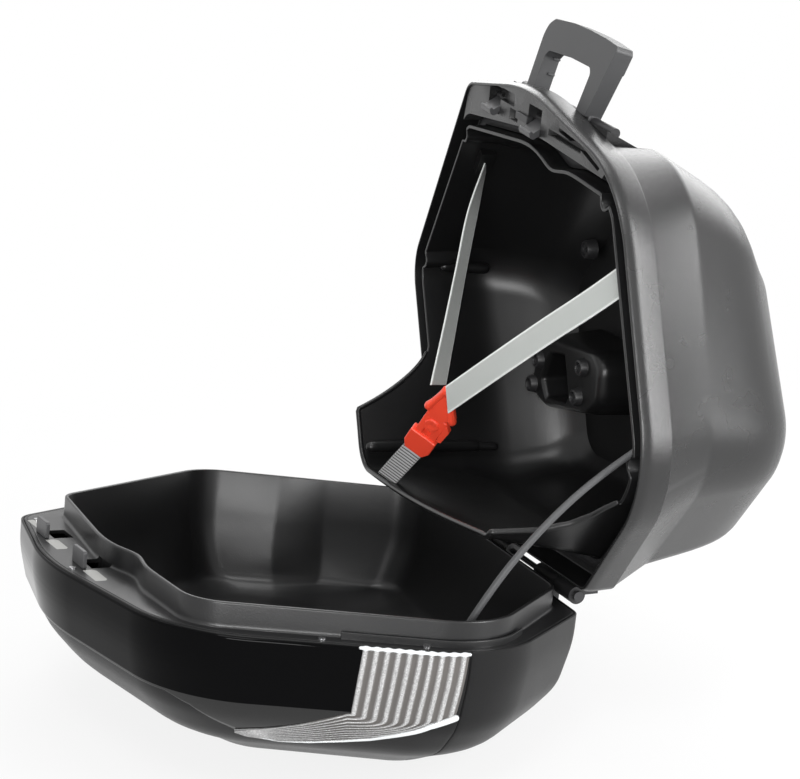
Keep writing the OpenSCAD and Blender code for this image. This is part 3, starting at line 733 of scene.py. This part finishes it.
# outer rings from the inside edge round the rim to the face, with the split line as a groove
cover_in = [ring(inset(FACE, 21), 3 - LID_DEPTH, T), ring(inset(FACE, 3), 13 - LID_DEPTH, T),
            ring(inset(mix(RIM, FACE, 0.48), 3), -82, T), ring(inset(mix(RIM, FACE, 0.13), 3), -56, T),
            ring(inset(RIM, 3), -22, T), ring(inset(RIM, 3), -0.8, T), ring(inset(RIM, 2.4), -0.4, T),
            ring(inset(RIM, 0.7), -0.4, T)]
rows, _ = soft(lid_rings(T, 0), LID_CUTS)
rows[0] = ring(RIM, -1.1, T)
groove = np.clip(1 - np.abs(T - SPLIT) / 0.06, 0, 1)
for r in rows:
    r[:, 1:] += inward(r[:, 1:]) * (1.3 * groove)[:, None]
cover = loft("lid_body", [row(lid(r)) for r in cover_in + rows], LID_SHELL_PAINTED_SHADE, 32)
settle(cover, "lid", "shell", "lid_cover")


def quads(a, b, o=0):
    """Faces of a grid of a by b points, the first of which has number o."""
    return [(o + i * b + j, o + i * b + j + 1, o + (i + 1) * b + j + 1, o + (i + 1) * b + j)
            for i in range(a - 1) for j in range(b - 1)]


def patch(name, s_grid, k_grid, e, mat):
    """Sheet over the lid surface from grids of s and k."""
    a, b = s_grid.shape
    p = lid_skin(s_grid.ravel(), k_grid.ravel(), e).reshape(a, b, 3)
    v = row(lid(p)).reshape(-1, 3)
    f = quads(a, b)
    return add(name, v, f, mat, 50)


def outwards(o):
    """Turns an open sheet's faces away from the lid's middle."""
    me = o.data
    c = Vector(row(lid(np.array([-30.0, 0, 190]))))
    if sum((p.center - c).dot(p.normal) for p in me.polygons) < 0:
        me.flip_normals()
    return o


def thick(o, t):
    m = o.modifiers.new("thick", "SOLIDIFY")
    m.thickness, m.offset = t / 1000, -1
    return o


# gloss panel: its lower edge as places s and ring places k, the line above its lower facet, its height over
# the lid, and how far its upright lines lean
PANEL_S = [17.1, 17.88, 18.45, 19.68, 20.58, 21.3, 22.18, 23.18, 27, 46.2]
PANEL_K = [1.75, 1.94, 2.1, 2.39, 2.52, 2.26, 1.945, 1.77, 1.77, 1.74]
FACET_K, PANEL_UP, LEAN = 1.72, 2.3, 0.07
sg = np.concatenate([np.linspace(17.0, 24, 110), np.linspace(24, 46.2, 200)[1:]])
kg = np.concatenate([np.linspace(0.03, 0.8, 8), np.linspace(0.82, 1.3, 12), np.linspace(1.35, FACET_K, 8)])
gs, gk = np.meshgrid(sg, np.concatenate([kg, FACET_K + np.linspace(0, 1, 9)[1:]]), indexing="ij")
low = np.interp(sg, PANEL_S, PANEL_K)[:, None]
gk = np.where(gk > FACET_K + 1e-6, FACET_K + (gk - FACET_K) * (low - FACET_K), gk)
gs = gs - LEAN * (FACET_K - np.minimum(gk, FACET_K)) * np.clip((20 - gs) / 3, 0, 1)
panel = patch("gloss_cover", gs, gk, PANEL_UP, GLOSS)
panel.data.materials.append(GLOSS_LOW)
for poly in panel.data.polygons:
    if poly.index % (gs.shape[1] - 1) >= len(kg) - 1:
        poly.material_index = 1
thick(outwards(panel), 1.8)
settle(panel, "lid", "gloss", "gloss_panel")

# ribbed lens: an upright part and a tail, one sheet of two grids
LENS_S0, LENS_S1, LENS_END, LENS_K, RIBS = 13.6, 17.08, 20.6, 1.74, 10
LOW_S = [13.6, 14.5, 15.4, 16.23, 17.12, 18.08, 19.05, 20.2, 20.6]
LOW_K = [1.71, 1.91, 2.2, 2.45, 2.62, 2.77, 2.845, 2.695, 2.58]
TAIL_S = [17.08, 17.88, 18.45, 19.68, 20.6]
TAIL_K = [1.74, 1.95, 2.11, 2.405, 2.54]
rs = np.linspace(LENS_S0, LENS_S1, 200)
ro = outline(RIM, rs)
rd = distance(ro)


def lens_low(s):
    return np.interp(s, LOW_S, LOW_K)


def lens_base(s):
    return np.where(s > LENS_S1, np.interp(s, TAIL_S, TAIL_K), np.minimum(LENS_K, lens_low(s) - 0.04))


def lens_grid(s, k):
    """Lens points: each rib runs down the upright part, turns at its foot and runs out in the tail."""
    a = 1 - np.interp(np.clip(s, LENS_S0, LENS_S1), rs, rd) / rd[-1]
    b = np.clip((k - lens_base(s)) / (lens_low(s) - lens_base(s)), 0, 1)
    d = np.clip((a ** 5 + b ** 5) ** 0.2, 0, 0.9999) * RIBS
    w = d - np.floor(d)
    crest = np.clip((0.5 - np.abs(w - 0.5)) / 0.5 * 2.2 - 0.75, 0, 1)
    crest = crest * crest * (3 - 2 * crest)
    lift = -0.7 + 1.4 * crest
    lean = s - LEAN * (LENS_K - np.minimum(k, LENS_K))
    p = lid_skin(lean.ravel(), k.ravel(), PANEL_UP).reshape(*s.shape, 3)
    q = lid_skin(lean.ravel(), k.ravel(), PANEL_UP + 1).reshape(*s.shape, 3)
    return p + (q - p) * lift[..., None], crest


s1 = np.interp(np.linspace(0, rd[-1], 241), rd, rs)
s2 = np.concatenate([s1, np.linspace(LENS_S1, LENS_END, 50)[1:]])
up_part = np.concatenate([np.linspace(0.02, 0.45, 7), np.linspace(0.48, 0.76, 9), np.linspace(0.8, 1, 8)])
gs1, gf1 = np.meshgrid(s1, up_part, indexing="ij")
gk1 = gf1 * lens_base(gs1)
gs2, gf2 = np.meshgrid(s2, np.linspace(0, 1, 121), indexing="ij")
gk2 = lens_base(gs2) + (lens_low(gs2) - lens_base(gs2)) * gf2
v, f, ribs = [], [], []
for gs, gk in ((gs1, gk1), (gs2, gk2)):
    g, crest = lens_grid(gs, gk)
    a, b = g.shape[:2]
    o = len(v)
    v += list(row(lid(g)).reshape(-1, 3))
    ribs += list(crest.ravel())
    f += quads(a, b, o)
lens = add("ribbed_lens", v, f, LENS, 60)
# crest mask of the ribs: it places the lens's painted shade and painted glint
col = lens.data.attributes.new("rib", "FLOAT", "POINT")
col.data.foreach_set("value", np.array(ribs, dtype=np.float32))
bm = bmesh.new()
bm.from_mesh(lens.data)
bmesh.ops.remove_doubles(bm, verts=bm.verts, dist=0.00002)
bm.to_mesh(lens.data)
bm.free()
shade(lens, 60)
thick(outwards(lens), 1.0)
settle(lens, "lid", "lens", "reflector_lens", "reflector_back")


def lid_bead(name, s, k, e, radius, mat):
    """Round bead along a line on the lid surface."""
    return tube(name, row(lid(lid_skin(s, k, e))), radius / 1000, mat, 10)


# beads along the lens's lower and top edges, coloured with the painted highlight
edge_s = np.concatenate([s1[::3], np.linspace(LENS_S1, 19.6, 26)[1:]])
taper = np.linspace(2.3, 0.5, len(edge_s))
settle(lid_bead("lens_lower_edge", edge_s, lens_low(edge_s), 2.4, taper, LENS_EDGE_HIGHLIGHT), "lid", "lens")
top_s = s1 - LEAN * LENS_K
scallop = 1.1 + 0.7 * np.sin(np.linspace(0, RIBS * math.pi, len(s1))) ** 2
settle(lid_bead("lens_top_edge", top_s, np.full(len(s1), 0.04), 2.2, scallop, LENS_EDGE_HIGHLIGHT), "lid", "lens")

# check cord between the two shells
CORD_PTS = [[10, -226, 134], [-14, -225, 119], [-38, -223, 101], [-62, -221, 79], [-84, -218, 54],
            [-102, -214, 28], [-114, -211, 8], [-122, -209, -10]]
cord_path = row(smooth_path(CORD_PTS, 4))
CORD_D = 0.005
cord = tube("check_line", cord_path, CORD_D / 2, CORD, 12)
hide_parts("check_cord")
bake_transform(cord)

# elastic straps
STRAP_W, STRAP_T = 20, 1.6
STRAPS = {"front": ([[28, 117, 329], [6, 92, 286], [-16, 61, 239], [-38, 30, 190], [-58, 2, 146]],
                    [[0.42, 0.89, -0.16], [0.69, 0.71, -0.15], [0.70, 0.69, -0.15], [0.75, 0.63, -0.14],
                     [0.82, 0.56, -0.13]]),
          "rear": ([[36, -191, 265], [10, -152, 232], [-14, -112, 202], [-38, -72, 171], [-62, -31, 139]],
                   [[0, 0, 1], [0, 0, 1], [-0.1, 0.1, 1], [-0.15, 0.1, 1], [-0.1, 0.0, 1]])}
for end, (path, sides) in STRAPS.items():
    band = ribbon("strap_%s_band" % end, smooth_path(path, 14), smooth_path(sides, 14), STRAP_W, STRAP_T, STRAP)
    settle(band, "base", "strap", "strap_" + end)

# buckle: ring plate, tongue, collar and press tab, in the frame of the two straps and the webbing
BUCKLE_AT = np.array([-60.0, -14.0, 134.0])
LIP_AT = np.array([-78.0, 64.0, 58.0])
EA = unit(LIP_AT - BUCKLE_AT)
EV = unit([-0.32, -0.92, 0.21])
EN = unit(EV - EA * (EV @ EA))
EB = np.cross(EN, -EA)
BUCKLE = np.stack([-EB, -EA, EN], 1)


def buckle(q):
    return np.asarray(q, float) @ BUCKLE.T + BUCKLE_AT


ring_poly = rounded([(-5, 17), (1, 17), (18, -8), (18, -14), (13, -15), (9, -20), (-3, -20), (-9, -14),
                     (-9, -10)], [2.5, 2.5, 2.5, 2.5, 2, 2, 2, 2.5, 2.5])
plate = prism("buckle_plate", ring_poly, -2.6, 2.6, buckle, RED, 0.9, 3)
settle(plate, "base", "red", "buckle_ring")
BAR_R = np.array([4.1, 3.6, 3.2, 3.1, 3.1, 3.1, 3.2, 3.6, 4.1])
for nm, a, b in (("buckle_bar_front", (-7.5, -12), (-2.5, 15.5)),
                 ("buckle_bar_rear", (-1, 15.5), (16, -11.5))):
    a, b = np.array([*a, 0.6]), np.array([*b, 0.6])
    q = np.array([a + (b - a) * w for w in np.linspace(0, 1, len(BAR_R))])
    settle(tube(nm, row(buckle(q)), BAR_R / 1000, RED, 14), "base", "red")
body = prism("buckle_tongue", rounded([(-6, -17), (-6, -48), (14, -48), (15, -17)], 2), -3.2, 2.4, buckle,
             RED, 0.8, 3)
collar = prism("buckle_collar", rounded([(-9, -44), (-9, -60), (-5, -68), (13, -68), (17, -60), (17, -44)],
                                        [2, 2, 3, 3, 2, 2]), -5.4, 4.6, buckle, RED, 1.3, 3)
lever = prism("buckle_lever", rounded([(14.5, -18), (14.5, -42), (19, -40), (20, -24)], 1.5), -2.6, 2.8, buckle,
              RED, 0.8, 2)
cutter = prism("cut_window", [(0, -42), (8, -42), (8, -36.5), (0, -36.5)], -12, 12, buckle)
cut(apply_all(body), cutter)
settle(body, "base", "red", "buckle_socket")
settle(collar, "base", "red")
settle(lever, "base", "red")
PRESS = [(0, -0.6), (6.4, -0.6), (6.4, 0.6), (5.8, 1.3), (4.6, 1.55), (3.2, 1.2), (0, 0.9)]
press = lathe("buckle_press", PRESS, buckle([4.2, -27.5, 2.6]), EN, RED, 30)
arm = prism("buckle_press_arm", rounded([(0.2, -21.5), (8.2, -21.5), (8.6, -35), (-0.2, -35)], 1.2), 2.0, 3.2,
            buckle, RED, 0.4, 2)
settle(press, "tab", "red", "buckle_tab")
settle(arm, "tab", "red")

# pull webbing: striped front ply and a back ply painted near-black as painted shade, from the buckle to the tray's
# lip
WEB_W, WEB_T = 19, 1.5
w0, w1 = buckle([4.0, -60.0, 0.8]), np.array([-76.4, 84.0, 48.6])
fore_pts = [w0, w0 * 0.6 + w1 * 0.4 + EN * 0.8, w0 * 0.2 + w1 * 0.8 + EN * 1.2, w1 + EN * 1.0]
aft_pts = [w1 - EN * 1.6 - EA * 1.0, w0 * 0.3 + w1 * 0.7 - EN * 4.5, w0 * 0.75 + w1 * 0.25 - EN * 3.6,
           w0 - EN * 1.5]
for nm, pts, mat, nodes in (("pull_band", fore_pts, WEB, ["pull_webbing"]), ("pull_band_back", aft_pts, WEB_BACK_PAINTED_SHADE, [])):
    path = smooth_path(pts, 12)
    settle(ribbon(nm, path, np.tile(EB, (len(path), 1)), WEB_W, WEB_T, mat), "base", "webbing", *nodes)

# handle
grip_poly = rounded([(52.5, 2.5), (53.5, 47), (50, 56), (41, 61.5), (5, 63.6), (-24, 63.2), (-52, 61.8),
                     (-74, 59.5), (-76.5, 56), (-64, 2.5), (-46.5, 2.5), (-48.5, 33), (-44, 37.2), (-8, 38),
                     (19, 36.6), (33, 35.8), (38, 31), (37.5, 2.5)],
                    [0.5, 20, 12, 10, 60, 60, 60, 3, 3, 0.5, 0.5, 6, 5, 40, 40, 4, 4, 0.5])


def in_handle(q):
    q = np.asarray(q, float)
    return raised(np.stack([q[:, 2], q[:, 0], q[:, 1]], 1))


grip = prism("handle_body", grip_poly, -10, 4.6, in_handle, GREY, 1.6, 3)
settle(grip, "handle", "grey", "handle")
top_poly = rounded([(51, 47), (49, 56), (41, 60.8), (5, 62.8), (-24, 62.4), (-52, 61), (-73.4, 58.9),
                    (-76, 55.8), (-73, 39), (51, 38.5)], [6, 12, 10, 60, 60, 60, 3, 3, 3, 3])
bar = prism("handle_top_bar", top_poly, 3.5, 5.4, in_handle, GREY, 0.9, 3)
settle(bar, "handle", "grey")
for nm, a, b in (("handle_foot_front", 36.5, 53.2), ("handle_foot_rear", -64.5, -46.0)):
    fpoly = [(a, -3.5), (a, 5), (b, 5), (b, -3.5)]
    settle(prism(nm, fpoly, -6.2, 4.4, in_handle, GREY, 1.0, 2), "handle", "grey")
LEG = 38.6  # inner face of the front leg
for nm, h, d in (("handle_ledge_a", 30.0, 3.2), ("handle_ledge_b", 17.0, 2.4)):
    ledge = [(LEG, h), (LEG - d, h), (LEG - d, h + 1.6), (LEG, h + 2.2)]
    settle(prism(nm, ledge, -2, 4.2, in_handle, GREY, 0.3, 2), "handle", "grey")

# latch face: the plate, kept within the rounder rim, with the slot and pockets beside the claws
plate = NODES["latch_plate"]
face = bpy.data.objects.new("latch_face", plate.data.copy())
scene.collection.objects.link(face)
face.data.transform(plate.matrix_world)
face.data.materials.clear()
face.data.materials.append(SHELL)
inside = loft("cut_inside", [row(ring(inset(RIM, 3.3), x, S)) for x in (-20, 120)])
m = face.modifiers.new("within", "BOOLEAN")
m.operation, m.object, m.solver = "INTERSECT", inside, "EXACT"
apply_all(face)
bpy.data.objects.remove(inside)


def on_latch(q):
    q = np.asarray(q, float)
    return latch(np.stack([q[:, 2] - LATCH_AT[0], q[:, 0], q[:, 1]], 1))


slot_poly = rounded([(-70, -3), (-70, -6), (-108, -9.5), (-143, -17.5), (-146, -15), (-110, -6)], 1.2, 3)
pocket_poly = rounded([(50, 3), (20, 3), (20, -7), (50, -7)], 2, 3)
cut(face, prism("cut_slot", slot_poly, -4, 9, on_latch), prism("cut_pocket", pocket_poly, -4, 6, on_latch))
settle(round_off(face, 0.4, 2), "base", "shell", "latch_plate")
block = prism("latch_block", rounded([(12, -8), (-12, -8), (-12, -14), (12, -14)], 1.5), 0.3, 5.5, on_latch,
              DARK, 0.5, 2)
settle(block, "base", "grey")

# latch claws
hook_poly = rounded([(0, 4.1), (-14, 12.5), (-17, 10.8), (-18.2, 7.3), (-16.5, 5.4), (-14.75, 7.2), (-2, -1),
                     (1.5, -4), (4.2, 0), (3, 3.4)], [1, 1.5, 1.2, 1, 1, 0.5, 1, 1.5, 2, 2], 3)
for end, y in CLAWS:
    def in_claw(q, y=y):
        return latch(np.stack([q[:, 0] - 22, q[:, 2] + y, -9 - q[:, 1]], 1))
    settle(prism("claw_%s_hook" % end, hook_poly, -11, 11, in_claw, CLAW, 0.6, 2), "claws", "grey", "claw_" + end)

# rolled lip of the tray
lip = tray_ring(-1.5, S)
keep = np.where(lip[:, 0] < 0.5)[0]
start = keep[np.argmax(np.diff(np.concatenate([[keep[-1] - len(S)], keep])))]
order = [(start + i) % len(S) for i in range(len(keep))]
bead_pts = lip[order]
bead_pts = bead_pts[np.concatenate([[True], np.linalg.norm(np.diff(bead_pts, axis=0), axis=1) > 0.6])]
size = 1.9 + 0.6 * np.clip((0 - bead_pts[:, 0]) / 30, 0, 1)
settle(tube("tray_lip", row(bead_pts), size / 1000, INNER_PAINTED_SHADE, 14), "base", "inner")

# ribs along the tray's far corner and across the far wall
for nm, pts, r in (("tray_rib", [(-70, 155, 62), (-39, 156.5, 60.5), (4, 160, 57), (40, 163.5, 54.5)], 5.5),
                   ("tray_rib_end", [(38, 163.3, 54.6), (60, 162.5, 52.5)], 4.2),
                   ("wall_rib", [(24, 212.5, 228.7), (44, 212.5, 227.6), (66, 211.5, 226)], 5.5)):
    settle(tube(nm, row(smooth_path(pts, 6)), r / 1000, INNER_PAINTED_SHADE, 16), "base", "inner")

# mount bulge inside the back wall: frame, deep recess and four screw bosses
BULGE_C = np.array([103.0, 131.0])


def polar(poly, n=96):
    """Points of a polygon at equal angles about the bulge's middle."""
    p = np.asarray(poly, float) - BULGE_C
    a = np.unwrap(np.arctan2(p[:, 1], p[:, 0]))
    if a[-1] < a[0]:
        p, a = p[::-1], a[::-1]
    out = []
    for w in np.arange(n) * 2 * math.pi / n:
        d = np.array([math.cos(w), math.sin(w)])
        best = 1e9
        for i in range(len(p)):
            q, e = p[i], p[(i + 1) % len(p)] - p[i]
            det = d[0] * -e[1] + d[1] * e[0]
            if abs(det) < 1e-9:
                continue
            tt = (q[0] * -e[1] + q[1] * e[0]) / det
            uu = (d[0] * q[1] - d[1] * q[0]) / det
            if tt > 0 and -1e-6 <= uu <= 1 + 1e-6:
                best = min(best, tt)
        out.append(BULGE_C + d * best)
    return np.array(out)


def grow(o, d):
    """Outline about the bulge's middle, made larger by d."""
    v = o - BULGE_C
    return o + v / np.linalg.norm(v, axis=1)[:, None] * d


frame_out = polar(rounded([(22, 164), (112, 169), (146, 158), (163, 122), (152, 102), (130, 96), (34, 105),
                           (14, 118), (10, 152)], 12))
hollow = polar(rounded([(118, 150), (88, 153), (78, 117), (84, 108), (126, 106), (136, 124), (128, 136)], 5))
BULGE_X = 98.0  # depth of the frame's face
bulge_rings = [ring(grow(frame_out, 5), 148.2), ring(grow(frame_out, 4), 140), ring(grow(frame_out, 0), 104),
               ring(grow(frame_out, -5), BULGE_X), ring(grow(hollow, 3), BULGE_X), ring(hollow, 101),
               ring(grow(hollow, -3), 132)]
for r, lean in zip(bulge_rings, (1.35, 1.0)):
    r[:, 0] -= lean * np.clip(r[:, 1] - 146, 0, None)
bulge = loft("mount_bulge", [row(r) for r in soft(bulge_rings, [0, 6, 5, 4, 2, 3, 0])[0]], INNER_PAINTED_SHADE, 35)
settle(bulge, "base", "inner", "mount_housing")
FRAME_BOSS = [(9.5, 1.5), (8.4, -1), (7.6, -5.4), (7.0, -6.2), (5.6, -6.4), (5.2, -5.6), (5.0, -3.2), (3.1, -3.0),
              (2.9, -1.0), (0, -1.0)]
WALL_BOSS = [(10, 2), (9.5, 0), (8.6, -7), (8.0, -8), (6.2, -8.2), (5.8, -6), (3.4, -5.8), (3.2, -3.5), (0, -3.5)]
BOSSES = [("mount_boss_%d" % i, FRAME_BOSS, (BULGE_X, u, z))
          for i, (u, z) in enumerate(((44, 148), (54, 119), (154, 116), (139, 142)))]
BOSSES.append(("wall_boss", WALL_BOSS, (139.0, 117.0, 250.0)))
for i, (nm, profile, at) in enumerate(BOSSES):
    boss = lathe(nm, profile, np.array(at), (1, 0, 0), DARK, 32)
    settle(boss, "base", "inner", *(["housing_screws"] if i == 0 else []))

# low second wall on the lid flange, and the pads and catches at its latch end
fs = np.linspace(9.3, 17.3, 90)
RIDGE = [(-12.2, -1.0), (-12.2, 4.6), (-10.4, 4.6), (-10.4, -1.0)]  # offset and height of its section
ridge = np.stack([ring(inner(d, fs), x) for d, x in RIDGE], 1)
settle(round_off(loft("lid_ridge", [row(lid(r)) for r in ridge], TUB, 35), 0.5, 2), "lid", "inner")


CATCH_X = -34.4  # catches and pads, measured from the handle's axis
catch_poly = rounded([(-12, 0), (12, 0), (12, 11.5), (10.5, 13), (-10.5, 13), (-12, 11.5)], 1)
for end, y in CLAWS:
    def upright(q, y=y):
        return in_lid_latch(np.stack([q[:, 1] + CATCH_X, q[:, 0] + y, q[:, 2]], 1))
    settle(prism("lid_catch_%s_plate" % end, catch_poly, -4.0, -0.9, upright, CLAW, 0.5, 2),
           "lid", "grey", "lid_catch_" + end)


def on_flange(q):
    return in_lid_latch(np.stack([q[:, 2] + CATCH_X, q[:, 0], q[:, 1]], 1))


for i, (a, b, lo, hi) in enumerate(((77, 110, -13.5, -4.5), (20, 48, -9.5, 0.4), (-66, -38, -9.5, 0.4))):
    pad_poly = rounded([(a, lo + 2), (a + 3, lo), (b - 3, lo), (b, lo + 2), (b, hi), (a, hi)], 1.5)
    settle(prism("latch_pad_%d" % i, pad_poly, -0.6, 0.1, on_flange, PAD, 0.15, 2), "lid", "grey")

# studio
FLOOR_GAP, FLOOR_HALF, FLOOR_WHITE = 0.0015, 30, 0.82
# share of plain white in the floor: near the object, where its shadow lies, and far off, with their distances
SHARE_NEAR, SHARE_FAR, NEAR, FAR = 0.82, 1.0, 0.35, 1.6
WORLD_LIGHT, WORLD_SEEN = 0.35, 1.0


def backdrop_ray(tree):
    """1 for camera, glossy and transmission rays, which see white, and 0 for the light on the object."""
    path = node(tree, "LightPath")
    both = node(tree, "Math", operation="MAXIMUM")
    every = node(tree, "Math", operation="MAXIMUM")
    tree.links.new(path.outputs["Is Camera Ray"], both.inputs[0])
    tree.links.new(path.outputs["Is Glossy Ray"], both.inputs[1])
    tree.links.new(both.outputs[0], every.inputs[0])
    tree.links.new(path.outputs["Is Transmission Ray"], every.inputs[1])
    return every.outputs[0]


floor_z = CAD_BOX[0].z - FLOOR_GAP
floor_mesh = bpy.data.meshes.new("floor")
floor_mesh.from_pydata([(x * FLOOR_HALF, y * FLOOR_HALF, floor_z) for x, y in ((-1, -1), (1, -1), (1, 1), (-1, 1))],
                       [], [(0, 1, 2, 3)])
floor = bpy.data.objects.new("floor", floor_mesh)
scene.collection.objects.link(floor)
fm, nt, fb, join = blank("floor_white")
fb.inputs["Base Color"].default_value = (*[FLOOR_WHITE] * 3, 1)
fb.inputs["Roughness"].default_value = 0.8
em = node(nt, "Emission", Strength=1.0)
share = node(nt, "Math", operation="MULTIPLY")
place = node(nt, "NewGeometry")
reach = node(nt, "VectorMath", operation="LENGTH")
fade = node(nt, "MapRange", From_Min=NEAR, From_Max=FAR, To_Min=SHARE_NEAR, To_Max=SHARE_FAR)
join(place.outputs["Position"], reach.inputs[0])
join(reach.outputs["Value"], fade.inputs["Value"])
join(fade.outputs["Result"], share.inputs[1])
mx = node(nt, "MixShader")
join(backdrop_ray(nt), share.inputs[0])
join(share.outputs[0], mx.inputs[0])
join(fb.outputs[0], mx.inputs[1])
join(em.outputs[0], mx.inputs[2])
join(mx.outputs[0], nt.nodes["Material Output"].inputs["Surface"])
floor.data.materials.append(fm)

world = bpy.data.worlds.new("studio")
scene.world = world
world.use_nodes = True
wt = world.node_tree
bg = wt.nodes["Background"]
st = node(wt, "MapRange", To_Min=WORLD_LIGHT, To_Max=WORLD_SEEN)
wt.links.new(backdrop_ray(wt), st.inputs["Value"])
wt.links.new(st.outputs["Result"], bg.inputs["Strength"])
bg.inputs["Color"].default_value = (1, 1, 1, 1)


def lamp(name, at, to, wide, tall, watts):
    """Area lamp at a place, turned to another, with its size in metres."""
    d = bpy.data.lights.new(name, "AREA")
    d.shape, d.size, d.size_y, d.energy = "RECTANGLE", wide, tall, watts
    o = bpy.data.objects.new(name, d)
    scene.collection.objects.link(o)
    o.location = at
    o.rotation_euler = (Vector(to) - Vector(at)).to_track_quat("-Z", "Y").to_euler()


lamp("key", (-1.0, -1.3, 2.1), (-0.25, 0, -0.1), 0.9, 0.9, 19)
lamp("strip", (1.2, -1.48, 0.55), (-0.15, -0.2, 0.02), 0.4, 1.8, 42)
lamp("front", (-1.1, -1.75, 0.15), (-0.35, 0.2, -0.2), 0.7, 0.5, 22)
lamp("rim", (1.45, 0.85, 1.25), (0, 0, 0.05), 1.9, 1.4, 23)
lamp("back", (0.15, 1.75, 1.25), (-0.3, 0.05, -0.25), 0.9, 0.9, 11)
lamp("top", (-0.3, 0.5, 2.3), (-0.2, 0, 0), 1.0, 1.0, 12)

scene.view_settings.view_transform = "Standard"

# CAD nodes that are shown as they are
FINISH = {"claw_shaft": BLACKSTEEL, "handle_housing": SHELL, "handle_shaft": DARK, "lock_sleeve": STEEL,
          "lock_cylinder": STEEL, "hinge_leaf_base": DARK, "hinge_leaf_lid": DARK, "hinge_pin": BLACKSTEEL,
          "mount_plate": DARK, "rack_bolt": STEEL, "mount_screws": BLACKSTEEL, "cord_anchor_base": DARK,
          "cord_anchor_lid": DARK, "strap_anchor_front": INNER_PAINTED_SHADE, "strap_anchor_rear": INNER_PAINTED_SHADE, "panel_screws": STEEL}
for name, m in FINISH.items():
    paint(NODES[name], m)
    round_off(NODES[name], 0.5, 2)
